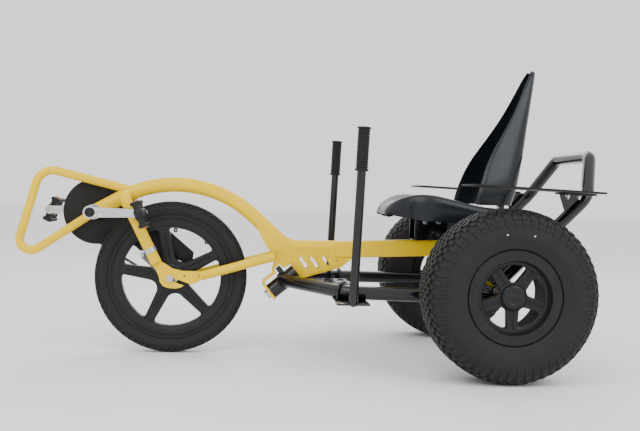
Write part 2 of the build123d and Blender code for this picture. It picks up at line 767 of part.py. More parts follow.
with BuildPart() as brake_bolt:
    add(ring(BRAKE_EYE, -FORK_Y - 6, -BRAKE_ARM_Y + BRAKE_ARM_T + 1, 3, 0))
    add(hex_nut(BRAKE_EYE, -BRAKE_ARM_Y, -FORK_Y - 4, 11, 0))
    add(brake_clamp.part, mode=Mode.SUBTRACT)

with BuildPart() as brake_clamp_set:
    add(Compound(children=[brake_clamp.part.solid(), brake_bolt.part.solid()]))
keep("brake_clamp_set", brake_clamp_set)

# ---- Rear frame ----
SLEEVE_BORE_R = 13
LUG_HALF_W = 6
across_pivot = Plane(origin=xz(PIVOT), z_dir=(cos(STEER), 0, sin(STEER)))
half_sleeve = PIVOT_SLEEVE_L / 2
with BuildPart() as pivot_sleeve:
    with BuildSketch(across_pivot.offset(-half_sleeve)):
        Circle(PIVOT_SLEEVE_D / 2)
        Circle(SLEEVE_BORE_R, mode=Mode.SUBTRACT)
    extrude(amount=PIVOT_SLEEVE_L)
with BuildPart() as sleeve_core:
    with BuildSketch(across_pivot.offset(-half_sleeve)):
        Circle(PIVOT_SLEEVE_D / 2)
    extrude(amount=PIVOT_SLEEVE_L)

with BuildPart() as stop_lug:
    with BuildSketch(side_plane(LUG_HALF_W)):
        Polygon(
            on_pivot(4, 0), on_pivot(20, 0), on_pivot(20, LUG_TOP_V), on_pivot(4, LUG_TOP_V), align=None
        )
    extrude(amount=2 * LUG_HALF_W)
    add(sleeve_core.part, mode=Mode.SUBTRACT)

with BuildPart() as pivot_sleeve_and_lug:
    add(pivot_sleeve.part)
    add(stop_lug.part)
keep("pivot_sleeve", pivot_sleeve_and_lug)

with BuildPart() as pivot_bushes:
    for end in (-1, 1):
        with BuildSketch(across_pivot.offset(end * half_sleeve)):
            Circle(SLEEVE_BORE_R)
            Circle(PIVOT_BOLT_D / 2 + RUN_CLEAR, mode=Mode.SUBTRACT)
        extrude(amount=-end * 22)
keep("pivot_bushes", pivot_bushes)

SIDE_BEND = 90
side_path = [
    (PIVOT[0] - 7, -15, PIVOT[1] + 6.5),
    (PIVOT[0] + 158, -SIDE_TUBE_Y + 25, PIVOT[1] - 2.5),
    (REAR_X + 12, -SIDE_TUBE_Y, SIDE_TUBE_Z),
]
with BuildLine() as side_line:
    FilletPolyline(*side_path, radius=SIDE_BEND)
side_rod = tube(side_path, [SIDE_BEND], SIDE_TUBE_D, 0)
AXLE_TUBE_HALF = TRACK / 2 - 88
axle_rod = ring(REAR_AXLE, -AXLE_TUBE_HALF, AXLE_TUBE_HALF, AXLE_TUBE_D / 2, 0)
with BuildPart() as side_tube:
    add(tube(side_path, [SIDE_BEND], SIDE_TUBE_D))
    add(sleeve_core.part, mode=Mode.SUBTRACT)
    add(axle_rod, mode=Mode.SUBTRACT)
    with BuildSketch(Plane.XZ):
        with Locations(PIVOT):
            Rectangle(200, 200)
    extrude(amount=-200, mode=Mode.SUBTRACT)
keep_both("side_tubes", side_tube)

WEB_Z = PIVOT[1] + 3
with BuildPart() as web_plate:
    with BuildSketch(Plane.XY.offset(WEB_Z - 2)):
        web = PIVOT[0] + 78
        Polygon(
            (web, 100),
            (web + 36, 72),
            (web + 120, 72),
            (web + 120, -72),
            (web + 36, -72),
            (web, -100),
            align=None,
        )
        for web_x in (web + 60, web + 100):
            with Locations((web_x, 35), (web_x, -35)):
                SlotOverall(46, 18, rotation=90, mode=Mode.SUBTRACT)
    extrude(amount=4)
    add(side_rod, mode=Mode.SUBTRACT)
    add(mirror(side_rod, about=Plane.XZ, mode=Mode.PRIVATE), mode=Mode.SUBTRACT)
keep("web_plate", web_plate)

with BuildPart() as axle_tube:
    add(ring(REAR_AXLE, -AXLE_TUBE_HALF, AXLE_TUBE_HALF, AXLE_TUBE_D / 2, AXLE_TUBE_D / 2 - 3))
    for side in (-1, 1):
        plug_y = side * AXLE_TUBE_HALF
        add(ring(REAR_AXLE, plug_y, plug_y - side * 35, AXLE_TUBE_D / 2 - 2, REAR_AXLE_D / 2))
keep("axle_tube", axle_tube)

REAR_WHEEL_Y = TRACK / 2
REAR_BOSS_IN = -36
REAR_BOSS_OUT = 54
AXLE_END = REAR_WHEEL_Y + REAR_BOSS_OUT - 3
with BuildPart() as rear_axle:
    add(ring(REAR_AXLE, -AXLE_END, AXLE_END, REAR_AXLE_D / 2, 0))
keep("rear_axle", rear_axle)

with BuildPart() as rear_spacers:
    for side in (-1, 1):
        inner_y = side * (REAR_WHEEL_Y + REAR_BOSS_IN - GAP)
        add(ring(REAR_AXLE, side * AXLE_TUBE_HALF, inner_y, 14, REAR_AXLE_D / 2))
keep("rear_spacers", rear_spacers)

BEARING_OUT_END = REAR_BOSS_OUT - 14
with BuildPart() as rear_axle_nuts:
    for side in (-1, 1):
        nut_y = side * (REAR_WHEEL_Y + BEARING_OUT_END + GAP)
        add(hex_nut(REAR_AXLE, nut_y, nut_y + side * 8, 24, REAR_AXLE_D / 2))
keep("rear_axle_nuts", rear_axle_nuts)

# Levers lean back a little and stand outside the side tubes on clamped brackets.
LEVER_TOP = (LEVER_X + 13, 655)
LEVER_FOOT = (LEVER_X - 2, PIVOT[1] - 17)
GRIP_TOP_Z = 664
lever_lean = (LEVER_TOP[0] - LEVER_FOOT[0]) / (LEVER_TOP[1] - LEVER_FOOT[1])
BRACKET_X = LEVER_FOOT[0] + 2


def lever_at(z):
    """The lever's centre line at height z."""
    return (LEVER_FOOT[0] + lever_lean * (z - LEVER_FOOT[1]), z)


def side_tube_at(x):
    """Point and direction of the left side tube's centre line at x."""
    low, high = 0.0, 1.0
    for _ in range(40):
        middle = (low + high) / 2
        if (side_line.line @ middle).X < x:
            low = middle
        else:
            high = middle
    return side_line.line @ low, side_line.line % low


with BuildPart() as lever:
    add(tube([xz(LEVER_FOOT, -LEVER_Y), xz(LEVER_TOP, -LEVER_Y)], [], LEVER_TUBE_D))
    with Locations(xz(LEVER_FOOT, -LEVER_Y)):
        Sphere(LEVER_TUBE_D / 2)
keep_both("levers", lever)

grip_low = lever_at(GRIP_TOP_Z - GRIP_L)
grip_high = lever_at(GRIP_TOP_Z)
with BuildPart() as grip:
    add(tube([xz(grip_low, -LEVER_Y), xz(grip_high, -LEVER_Y)], [], GRIP_D - 2, 0))
    for flange_z in (grip_low[1], GRIP_TOP_Z - 6):
        low, high = lever_at(flange_z), lever_at(flange_z + 6)
        add(tube([xz(low, -LEVER_Y), xz(high, -LEVER_Y)], [], GRIP_D + 3, 0))
    add(
        tube([xz(LEVER_FOOT, -LEVER_Y), xz(LEVER_TOP, -LEVER_Y)], [], LEVER_TUBE_D, 0),
        mode=Mode.SUBTRACT,
    )
keep_both("grips", grip)

CLAMP_PLATE_T = 5
UBOLT_D = 8
UBOLT_R = SIDE_TUBE_D / 2 + UBOLT_D / 2 + GAP
UBOLT_X = (BRACKET_X - 20, BRACKET_X + 20)
plate_top = side_tube_at(BRACKET_X)[0].Z - SIDE_TUBE_D / 2 + 1
foot_z = plate_top - CLAMP_PLATE_T
ubolt_legs = []  # the two legs of each U-bolt, square to the tube there
for bolt_x in UBOLT_X:
    spot, heading = side_tube_at(bolt_x)
    flat = hypot(heading.X, heading.Y)
    off_x = -heading.Y / flat * UBOLT_R
    off_y = heading.X / flat * UBOLT_R
    ubolt_legs.append((spot, (spot.X - off_x, spot.Y - off_y), (spot.X + off_x, spot.Y + off_y)))
leg_spots = [leg for _, outer, inner in ubolt_legs for leg in (outer, inner)]
lever_rod = tube([xz(LEVER_FOOT, -LEVER_Y), xz(LEVER_TOP, -LEVER_Y)], [], LEVER_TUBE_D, 0)
plate_in_y = max(y for _, y in leg_spots) + 11
with BuildPart() as lever_bracket:
    with BuildSketch(Plane.XY.offset(foot_z)):
        with Locations((BRACKET_X, -(LEVER_Y - plate_in_y) / 2)):
            Rectangle(88, LEVER_Y + plate_in_y)
        with Locations(*leg_spots):
            Circle(UBOLT_D / 2, mode=Mode.SUBTRACT)
    extrude(amount=CLAMP_PLATE_T)
    with BuildSketch(Plane.YZ.offset(BRACKET_X - CLAMP_PLATE_T / 2)):
        Polygon(
            (-LEVER_Y, foot_z + 1),
            (-SIDE_TUBE_Y, foot_z + 1),
            (-LEVER_Y + 4, plate_top + 48),
            (-LEVER_Y, plate_top + 48),
            align=None,
        )
    extrude(amount=CLAMP_PLATE_T)
    add(lever_rod, mode=Mode.SUBTRACT)
    with Locations(xz(LEVER_FOOT, -LEVER_Y)):
        Sphere(LEVER_TUBE_D / 2, mode=Mode.SUBTRACT)
    add(side_rod, mode=Mode.SUBTRACT)
keep_both("lever_brackets", lever_bracket)

with BuildPart() as lever_ubolts:
    for spot, outer, inner in ubolt_legs:
        leg_end = foot_z - 12
        with BuildLine() as bend:
            Line((*outer, leg_end), (*outer, spot.Z))
            ThreePointArc(
                (*outer, spot.Z), (spot.X, spot.Y, spot.Z + UBOLT_R), (*inner, spot.Z)
            )
            Line((*inner, spot.Z), (*inner, leg_end))
        with BuildSketch(Plane.XY.offset(leg_end)):
            with Locations(outer):
                Circle(UBOLT_D / 2)
        sweep(path=bend.line)
with BuildPart() as lever_nuts:
    with BuildSketch(Plane.XY.offset(foot_z)):
        with Locations(*leg_spots):
            RegularPolygon(6.5, 6, major_radius=False)
            Circle(UBOLT_D / 2, mode=Mode.SUBTRACT)
    extrude(amount=-6.5)
with BuildPart() as lever_fixings:
    add(Compound(children=[*lever_ubolts.part.solids(), *lever_nuts.part.solids()]))
keep_both("lever_ubolts_and_nuts", lever_fixings)

# Roll bar: a hoop behind the seat whose legs run down to the axle tube.
ROLL_TOP = (REAR_X + REAR_REACH - ROLL_TUBE_D / 2, 615)
ROLL_BEND = shift(ROLL_TOP, -51, -119)
ROLL_FOOT = shift(REAR_AXLE, 1, 11)
ROLL_TOP_Y = 127
roll_path = [
    xz(ROLL_FOOT, -ROLL_Y),
    xz(ROLL_BEND, -ROLL_Y),
    xz(ROLL_TOP, -ROLL_TOP_Y),
    xz(ROLL_TOP, ROLL_TOP_Y),
    xz(ROLL_BEND, ROLL_Y),
    xz(ROLL_FOOT, ROLL_Y),
]
with BuildPart() as roll_bar:
    add(tube(roll_path, [70, 45, 45, 70], ROLL_TUBE_D))
    add(axle_rod, mode=Mode.SUBTRACT)
keep("roll_bar", roll_bar)

# Mudguards: flat plates over the tyres on tabs welded to the roll bar.
GUARD_IN_Y = ROLL_Y + ROLL_TUBE_D / 2 + 1
GUARD_OUT_Y = TRACK / 2 + 70
GUARD_FRONT = (REAR_X - 115, 521)
GUARD_REAR = (REAR_X + 240, 509)
GUARD_T = 5
TAB_T = 5
guard_run = hypot(GUARD_REAR[0] - GUARD_FRONT[0], GUARD_REAR[1] - GUARD_FRONT[1])
guard_way = (
    (GUARD_REAR[0] - GUARD_FRONT[0]) / guard_run,
    0,
    (GUARD_REAR[1] - GUARD_FRONT[1]) / guard_run,
)
guard_mid = (GUARD_IN_Y + GUARD_OUT_Y) / 2
guard_plane = Plane(
    origin=xz(GUARD_FRONT, -guard_mid), x_dir=guard_way, z_dir=(-guard_way[2], 0, guard_way[0])
)
TAB_LEN = 86
TAB_REAR = 10  # the tab runs this far past the mudguard's rear edge
TAB_IN_Y = ROLL_Y - 8
TAB_OUT_Y = ROLL_Y + 86
BOLT_ROW_Y = GUARD_IN_Y + 25
BOLT_HEAD_R = 7.4
BOLT_HEAD_H = 2.4
tab_middle = guard_run + TAB_REAR - TAB_LEN / 2
TAB_BOLTS = [(tab_middle + step, guard_mid - BOLT_ROW_Y) for step in (-24, 8)]
with BuildPart() as mudguard:
    with BuildSketch(guard_plane.offset(-GUARD_T)):
        with Locations((guard_run / 2, 0)):
            RectangleRounded(guard_run, GUARD_OUT_Y - GUARD_IN_Y, 22)
        with Locations(*TAB_BOLTS):
            Circle(4.2, mode=Mode.SUBTRACT)
    extrude(amount=GUARD_T)
    with BuildSketch(guard_plane.offset(-BOLT_HEAD_H)):
        with Locations(*TAB_BOLTS):
            Circle(BOLT_HEAD_R + 0.2)
    extrude(amount=BOLT_HEAD_H, mode=Mode.SUBTRACT)
keep_both("mudguards", mudguard)

roll_rod = tube(roll_path, [70, 45, 45, 70], ROLL_TUBE_D, 0)


def guard_z(x, below):
    """Height of the plane this far below the mudguard's upper face, at x."""
    return GUARD_FRONT[1] + (x - GUARD_FRONT[0]) * guard_way[2] / guard_way[0] - below


with BuildPart() as mudguard_tab:
    with BuildSketch(guard_plane.offset(-GUARD_T - TAB_T)):
        with Locations((tab_middle, guard_mid - (TAB_IN_Y + TAB_OUT_Y) / 2)):
            RectangleRounded(TAB_LEN, TAB_OUT_Y - TAB_IN_Y, 6)
        with Locations(*TAB_BOLTS):
            Circle(4.2, mode=Mode.SUBTRACT)
    extrude(amount=TAB_T)
    tab_rear_x = GUARD_REAR[0] + TAB_REAR - 8
    tab_front_x = tab_rear_x - TAB_LEN + 16
    with BuildSketch(side_plane(-ROLL_Y - 4)):
        Polygon(
            (tab_front_x, guard_z(tab_front_x, GUARD_T + TAB_T / 2)),
            (tab_rear_x, guard_z(tab_rear_x, GUARD_T + TAB_T / 2)),
            shift(ROLL_BEND, -22, -22),
            shift(ROLL_BEND, -60, -60),
            align=None,
        )
    extrude(amount=TAB_T)
    add(roll_rod, mode=Mode.SUBTRACT)
keep_both("mudguard_tabs", mudguard_tab)

with BuildPart() as mudguard_bolts:
    with BuildSketch(guard_plane.offset(-GUARD_T - TAB_T - 12)):
        with Locations(*TAB_BOLTS):
            Circle(4)
    extrude(amount=GUARD_T + TAB_T + 12 - BOLT_HEAD_H / 2)
    with BuildSketch(guard_plane.offset(-BOLT_HEAD_H)):
        with Locations(*TAB_BOLTS):
            Circle(BOLT_HEAD_R)
    extrude(amount=BOLT_HEAD_H)
    with BuildSketch(guard_plane.offset(-GUARD_T - TAB_T - 6.5)):
        with Locations(*TAB_BOLTS):
            RegularPolygon(6.5, 6, major_radius=False)
    extrude(amount=6.5)
keep_both("mudguard_bolts", mudguard_bolts)

# ---- Rear wheels ----
REAR_BEAD_R = REAR_BEAD_D / 2
REAR_RIM_R = REAR_BEAD_R - 1
REAR_SPOKE_ANGLE = -90
BEARING_R_REAR = REAR_AXLE_D
rear_half = REAR_TYRE_W / 2
wheel = wheel_plane(REAR_AXLE, -REAR_WHEEL_Y)
rear_axis = axle_axis(REAR_AXLE)
with BuildPart() as rear_tyre:
    outer_side = [
        (62.7, REAR_BEAD_R + 0.3),
        (63.2, REAR_BEAD_R + 23.3),
        (69, REAR_BEAD_R + 26),
        (rear_half - 5, REAR_BEAD_R + 40),
        (rear_half, REAR_R - 62),
        (rear_half - 4, REAR_R - 28),
        (rear_half - 15, REAR_R - 8),
        (rear_half - 42, REAR_R),
    ]
    inner_side = [
        (rear_half - 42, REAR_R - 14),
        (rear_half - 22, REAR_R - 20),
        (rear_half - 14, REAR_R - 34),
        (rear_half - 10, REAR_R - 62),
        (rear_half - 15, REAR_BEAD_R + 42),
        (55, REAR_BEAD_R + 24),
        (50, REAR_BEAD_R + 0.3),
    ]
    with BuildSketch(wheel):
        Polygon(
            *outer_side,
            *[(-a, r) for a, r in reversed(outer_side)],
            *[(-a, r) for a, r in reversed(inner_side)],
            *inner_side,
            align=None,
        )
    revolve(axis=rear_axis)
keep_pair("rear_tyre", rear_tyre)

DISC_IN, DISC_OUT = 30, 46
with BuildPart() as rear_rim:
    rim_in = REAR_RIM_R - 5
    with BuildSketch(wheel):
        Polygon(
            (64, rim_in),
            (69, rim_in + 4),
            (69, REAR_BEAD_R + 23),
            (64, REAR_BEAD_R + 23),
            (63.5, REAR_RIM_R + 0.7),
            (-63.5, REAR_RIM_R + 0.7),
            (-64, REAR_BEAD_R + 23),
            (-69, REAR_BEAD_R + 23),
            (-69, rim_in + 4),
            (-64, rim_in),
            align=None,
        )
        Polygon(
            (DISC_IN, 24), (DISC_OUT, 24), (DISC_OUT, rim_in + 1), (DISC_IN, rim_in + 1), align=None
        )
        Polygon(
            (REAR_BOSS_IN, BEARING_R_REAR),
            (REAR_BOSS_OUT, BEARING_R_REAR),
            (REAR_BOSS_OUT, 33),
            (REAR_BOSS_IN, 29),
            align=None,
        )
    revolve(axis=rear_axis)
    with BuildSketch(side_plane(-REAR_WHEEL_Y, REAR_AXLE)):
        Circle(REAR_RIM_R - 12)
        Circle(38, mode=Mode.SUBTRACT)
        for spoke in range(SPOKES):
            with Locations(Rotation(0, 0, REAR_SPOKE_ANGLE + spoke * 360 / SPOKES)):
                Polygon(
                    (20, 20),
                    (REAR_RIM_R, 17),
                    (REAR_RIM_R, -17),
                    (20, -20),
                    align=None,
                    mode=Mode.SUBTRACT,
                )
    extrude(amount=DISC_OUT + 10, mode=Mode.SUBTRACT)
keep_pair("rear_rim", rear_rim)

with BuildPart() as rear_bearings:
    for start in (REAR_BOSS_IN + 1, BEARING_OUT_END - 12):
        y0 = -REAR_WHEEL_Y - start
        add(ring(REAR_AXLE, y0, y0 - 12, BEARING_R_REAR, REAR_AXLE_D / 2 + RUN_CLEAR))
keep_pair("rear_bearings", rear_bearings)

with BuildPart() as hub_cap:
    with BuildSketch(wheel):
        Polygon(
            (REAR_BOSS_OUT, 0),
            (REAR_BOSS_OUT + 5, 0),
            (REAR_BOSS_OUT + 5, 26),
            (REAR_BOSS_OUT + 2, 31),
            (REAR_BOSS_OUT, 31),
            align=None,
        )
    revolve(axis=rear_axis)
keep_pair("hub_cap", hub_cap)

# ---- Seat ----
SHELL_T = 5
PAN_TOP = 494
PAN_FRONT_X = REAR_X - 292
PAN_REAR_X = REAR_X + 68


def pan_section(x, crown, half, skirt, dip):
    """Cross-section of the pan: raised sides, a dished middle and turned-down skirts."""
    drop = (crown - skirt) * 0.3
    upper = [
        (-half, skirt),
        (-half + 4, crown - drop),
        (-half + 26, crown),
        (-half * 0.45, crown - dip),
        (half * 0.45, crown - dip),
        (half - 26, crown),
        (half - 4, crown - drop),
        (half, skirt),
    ]
    lower = [
        (half - SHELL_T, skirt),
        (half - 4 - SHELL_T, crown - drop - 2),
        (half - 27, crown - SHELL_T),
        (half * 0.45, crown - dip - SHELL_T),
        (-half * 0.45, crown - dip - SHELL_T),
        (-half + 27, crown - SHELL_T),
        (-half + 4 + SHELL_T, crown - drop - 2),
        (-half + SHELL_T, skirt),
    ]
    with BuildSketch(Plane.YZ.offset(x)) as section:
        Polygon(*upper, *lower, align=None)
    return section.sketch


pan_rows = [
    (PAN_FRONT_X, PAN_TOP - 52, SEAT_HALF_W - 40, PAN_TOP - 74, 4),
    (REAR_X - 272, PAN_TOP - 30, SEAT_HALF_W - 22, PAN_TOP - 72, 12),
    (REAR_X - 236, PAN_TOP - 9, SEAT_HALF_W - 8, PAN_TOP - 74, 22),
    (REAR_X - 188, PAN_TOP, SEAT_HALF_W, PAN_TOP - 76, 34),
    (REAR_X - 138, PAN_TOP - 6, SEAT_HALF_W, PAN_TOP - 80, 38),
    (REAR_X - 75, PAN_TOP - 22, SEAT_HALF_W, PAN_TOP - 82, 34),
    (REAR_X - 12, PAN_TOP - 35, SEAT_HALF_W - 4, PAN_TOP - 78, 28),
    (PAN_REAR_X, PAN_TOP - 38, SEAT_HALF_W - 22, PAN_TOP - 68, 22),
]
with BuildPart() as seat_pan:
    loft(sections=[pan_section(*row) for row in pan_rows], ruled=True)
keep("seat_pan", seat_pan)

BACK_FOOT_Z = PAN_TOP - 30
BACK_TOP_Z = 876


def back_section(z, rear_x, front_x, half):
    """Cross-section of the back: a flat rear panel with wings that reach forward."""
    inner = half - SHELL_T
    mid_x = front_x + (rear_x - front_x) * 0.55
    with BuildSketch(Plane.XY.offset(z)) as section:
        Polygon(
            (front_x, half * 0.94),
            (mid_x, half),
            (rear_x - 8, half * 0.82),
            (rear_x, half * 0.5),
            (rear_x, -half * 0.5),
            (rear_x - 8, -half * 0.82),
            (mid_x, -half),
            (front_x, -half * 0.94),
            (front_x, -half * 0.94 + SHELL_T),
            (mid_x, -inner),
            (rear_x - 8 - SHELL_T, -half * 0.82 + SHELL_T),
            (rear_x - SHELL_T, -half * 0.5),
            (rear_x - SHELL_T, half * 0.5),
            (rear_x - 8 - SHELL_T, half * 0.82 - SHELL_T),
            (mid_x, inner),
            (front_x, half * 0.94 - SHELL_T),
            align=None,
        )
    return section.sketch


back_rows = [
    (BACK_FOOT_Z, 90, -33, 142),
    (520, 108, -20, 140),
    (582, 122, 2, 122),
    (642, 135, 36, 98),
    (708, 146, 78, 74),
    (777, 159, 112, 54),
    (840, 170, 140, 40),
    (BACK_TOP_Z, 175, 154, 24),
]
with BuildPart() as seat_back:
    loft(sections=[back_section(z, REAR_X + r, REAR_X + f, h) for z, r, f, h in back_rows], ruled=True)
keep("seat_back", seat_back)

# Pan bracket: a box section on the beam that the pan's dished middle rests on.
BRACKET_FRONT = REAR_X - 190
BRACKET_REAR = REAR_X - 89
BRACKET_HALF = 40
BRACKET_WALL = 4


def pan_under(x):
    """Height of the underside of the pan's dished middle at x."""
    for front, rear in zip(pan_rows, pan_rows[1:]):
        if front[0] <= x <= rear[0]:
            share = (x - front[0]) / (rear[0] - front[0])
            low = front[1] - front[4]
            return low + share * (rear[1] - rear[4] - low) - SHELL_T
    return PAN_TOP


bracket_tops = [BRACKET_REAR]
bracket_tops += [row[0] for row in reversed(pan_rows) if BRACKET_FRONT < row[0] < BRACKET_REAR]
bracket_tops += [BRACKET_FRONT]
with BuildPart() as pan_bracket:
    for half, wall, spare, mode in (
        (BRACKET_HALF, 0, 0, Mode.ADD),
        (BRACKET_HALF - BRACKET_WALL, BRACKET_WALL, 10, Mode.SUBTRACT),
    ):
        tops = [(x, pan_under(x) - wall) for x in bracket_tops]
        if spare:
            tops = [(BRACKET_REAR + spare, tops[0][1]), *tops, (BRACKET_FRONT - spare, tops[-1][1])]
        with BuildSketch(side_plane(half)):
            Polygon(
                (BRACKET_FRONT - spare, beam_top(BRACKET_FRONT - spare) + wall),
                (BRACKET_REAR + spare, beam_top(BRACKET_REAR + spare) + wall),
                *tops,
                align=None,
            )
        extrude(amount=2 * half, mode=mode)
keep("pan_bracket", pan_bracket)

# Back bracket: an angle on the beam's end that stands inside the back shell.
with BuildPart() as back_bracket:
    foot_x = REAR_X - 60
    stand_x = REAR_X + 78
    foot_top = beam_top(foot_x) + 6
    with BuildSketch(side_plane(30)):
        Polygon(
            (foot_x, beam_top(foot_x)),
            (REAR_X + 40, beam_top(REAR_X + 40)),
            (stand_x + 6, foot_top + 30),
            (stand_x + 8, BACK_FOOT_Z - 2),
            (stand_x + 22, 546),
            (stand_x + 16, 546),
            (stand_x + 2, BACK_FOOT_Z - 2),
            (stand_x - 2, foot_top + 32),
            (REAR_X + 34, beam_top(REAR_X + 34) + 6),
            (foot_x, foot_top),
            align=None,
        )
    extrude(amount=60)
    add(seat_back.part, mode=Mode.SUBTRACT)
    add(seat_pan.part, mode=Mode.SUBTRACT)
keep("back_bracket", back_bracket)

with BuildPart() as seat_bolts:
    for bolt_x in (BRACKET_FRONT + 30, BRACKET_REAR - 30):
        for side in (-1, 1):
            face_y = side * BRACKET_HALF
            bolt_at = (bolt_x, beam_top(bolt_x) + 55)
            add(hex_nut(bolt_at, face_y, face_y + side * 6, 13, 0))
keep("seat_bolts", seat_bolts)

# ---- Export ----
os.makedirs("parts", exist_ok=True)
for name, part in PIECES.items():
    export_step(part, f"parts/{name}.step")
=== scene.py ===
"""Looks of a pedal go kart: tyres, wheels, bucket seat, pedals, chain, paint and studio."""

import json
from math import asin, atan2, cos, hypot, pi, radians, sin

import bmesh
import bpy
from mathutils import Matrix, Vector

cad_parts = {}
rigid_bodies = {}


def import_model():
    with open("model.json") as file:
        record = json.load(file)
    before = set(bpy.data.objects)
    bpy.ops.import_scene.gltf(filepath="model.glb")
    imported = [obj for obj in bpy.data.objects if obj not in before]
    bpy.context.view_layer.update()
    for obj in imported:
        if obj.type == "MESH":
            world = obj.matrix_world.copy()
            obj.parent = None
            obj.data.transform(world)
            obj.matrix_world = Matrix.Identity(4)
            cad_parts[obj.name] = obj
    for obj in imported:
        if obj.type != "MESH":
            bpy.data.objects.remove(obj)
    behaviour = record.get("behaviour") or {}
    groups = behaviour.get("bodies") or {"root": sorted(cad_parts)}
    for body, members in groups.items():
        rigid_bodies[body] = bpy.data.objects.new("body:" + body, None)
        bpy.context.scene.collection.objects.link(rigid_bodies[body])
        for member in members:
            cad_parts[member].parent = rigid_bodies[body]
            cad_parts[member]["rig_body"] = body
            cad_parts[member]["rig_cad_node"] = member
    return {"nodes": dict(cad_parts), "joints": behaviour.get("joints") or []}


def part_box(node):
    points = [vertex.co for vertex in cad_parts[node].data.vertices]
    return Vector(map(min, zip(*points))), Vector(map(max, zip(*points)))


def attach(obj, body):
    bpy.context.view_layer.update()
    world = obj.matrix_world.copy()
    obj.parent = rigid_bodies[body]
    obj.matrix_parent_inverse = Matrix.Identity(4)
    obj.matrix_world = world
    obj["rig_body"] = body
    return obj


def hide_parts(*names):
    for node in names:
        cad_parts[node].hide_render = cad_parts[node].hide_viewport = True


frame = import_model()
NODES = frame["nodes"]
JOINTS = {joint["name"]: joint for joint in frame["joints"]}
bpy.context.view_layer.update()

bl_info = {
    "name": "Pedal Go Kart",
    "version": (1, 0, 0),
    "blender": (4, 5, 0),
    "location": "View3D > Sidebar > Kart",
    "description": "Builds the visible surfaces of a pedal go kart around its engineering model",
    "category": "Object",
}

MM = 0.001
SPOKES = 5
SPOKE_STEP = 360 / SPOKES
FRONT_SPOKE_START = 100  # degrees, at rest
REAR_SPOKE_START = -90
FRONT_TYRE_R = 224  # millimetres over the tread
REAR_TYRE_R = 230
CHAIN_PITCH = 12.7
CHAINRING_TEETH = 38
SPROCKET_TEETH = 16
LEVER_R = 0.012  # half the width of a lever at its foot
GRIP_R = 0.018
ROLL_TUBE_R = 0.018
FRONT_AXLE = Vector(JOINTS["front_wheel_spin"]["pos_m"])
CRANK_AXLE = Vector(JOINTS["crank_spin"]["pos_m"])
REAR_AXLE_LEFT = Vector(JOINTS["rear_wheel_left_spin"]["pos_m"])
REAR_X = REAR_AXLE_LEFT.x
ACROSS = Vector((0, 1, 0))


# ---- Sizes and colours a user may change ----
class KartPaint(bpy.types.PropertyGroup):
    frame_colour: bpy.props.FloatVectorProperty(
        name="Frame paint",
        description="Colour of the gloss paint on the front frame",
        subtype="COLOR",
        size=3,
        min=0,
        max=1,
        default=(0.88, 0.58, 0.0),
    )
    tube_colour: bpy.props.FloatVectorProperty(
        name="Rear frame paint",
        description="Colour of the gloss paint on the rear frame",
        subtype="COLOR",
        size=3,
        min=0,
        max=1,
        default=(0.006, 0.0065, 0.008),
    )
    seat_colour: bpy.props.FloatVectorProperty(
        name="Seat",
        description="Colour of the blow-moulded seat",
        subtype="COLOR",
        size=3,
        min=0,
        max=1,
        default=(0.006, 0.008, 0.011),
    )
    rubber_colour: bpy.props.FloatVectorProperty(
        name="Tyre rubber",
        description="Colour of the tyres",
        subtype="COLOR",
        size=3,
        min=0,
        max=1,
        default=(0.012, 0.0115, 0.011),
    )


class KartSizes(bpy.types.PropertyGroup):
    turf_blocks: bpy.props.IntProperty(
        name="Rear tread pitches",
        description="Tread pitches round a rear tyre",
        min=12,
        max=80,
        default=56,
    )
    road_blocks: bpy.props.IntProperty(
        name="Front tread pitches",
        description="Tread pitches round the front tyre",
        min=20,
        max=120,
        default=66,
    )
    turf_depth: bpy.props.FloatProperty(
        name="Rear tread depth",
        description="Height of the blocks on a rear tyre",
        unit="LENGTH",
        min=0.002,
        max=0.012,
        default=0.007,
    )
    road_depth: bpy.props.FloatProperty(
        name="Front tread depth",
        description="Height of the blocks on the front tyre",
        unit="LENGTH",
        min=0.001,
        max=0.008,
        default=0.006,
    )
    seat_wall: bpy.props.FloatProperty(
        name="Seat wall",
        description="Wall thickness of the seat shells",
        unit="LENGTH",
        min=0.002,
        max=0.01,
        default=0.005,
    )
    grip_ribs: bpy.props.IntProperty(
        name="Grip ribs",
        description="Ribs on a handle grip",
        min=4,
        max=30,
        default=15,
    )
    lamp_power: bpy.props.FloatProperty(
        name="Key lamp",
        description="Power of the large overhead lamp",
        unit="POWER",
        min=0,
        max=500,
        default=46,
    )


# ---- Modelling helpers ----
def deselect_all():
    """Leaves object mode and selects nothing."""
    if bpy.context.mode != "OBJECT":
        bpy.ops.object.mode_set(mode="OBJECT")
    bpy.ops.object.select_all(action="DESELECT")


def work_on(obj):
    """Makes one object the only selected and the active one."""
    deselect_all()
    obj.select_set(True)
    bpy.context.view_layer.objects.active = obj
    return obj


def in_edit(obj, select="SELECT"):
    """Opens an object in edit mode with everything or nothing selected."""
    work_on(obj)
    bpy.ops.object.mode_set(mode="EDIT")
    bpy.ops.mesh.select_mode(type="VERT")
    bpy.ops.mesh.select_all(action=select)


def out_of_edit():
    bpy.ops.object.mode_set(mode="OBJECT")


def pick_faces(obj, test):
    """In edit mode, selects the faces that pass the test."""
    bpy.ops.mesh.select_mode(type="FACE")
    bpy.ops.mesh.select_all(action="DESELECT")
    mesh = bmesh.from_edit_mesh(obj.data)
    for face in mesh.faces:
        face.select_set(bool(test(face)))
    bmesh.update_edit_mesh(obj.data)


def pick_edges(obj, test):
    """In edit mode, selects the edges that pass the test."""
    bpy.ops.mesh.select_mode(type="EDGE")
    bpy.ops.mesh.select_all(action="DESELECT")
    mesh = bmesh.from_edit_mesh(obj.data)
    for edge in mesh.edges:
        edge.select_set(bool(test(edge)))
    bmesh.update_edit_mesh(obj.data)


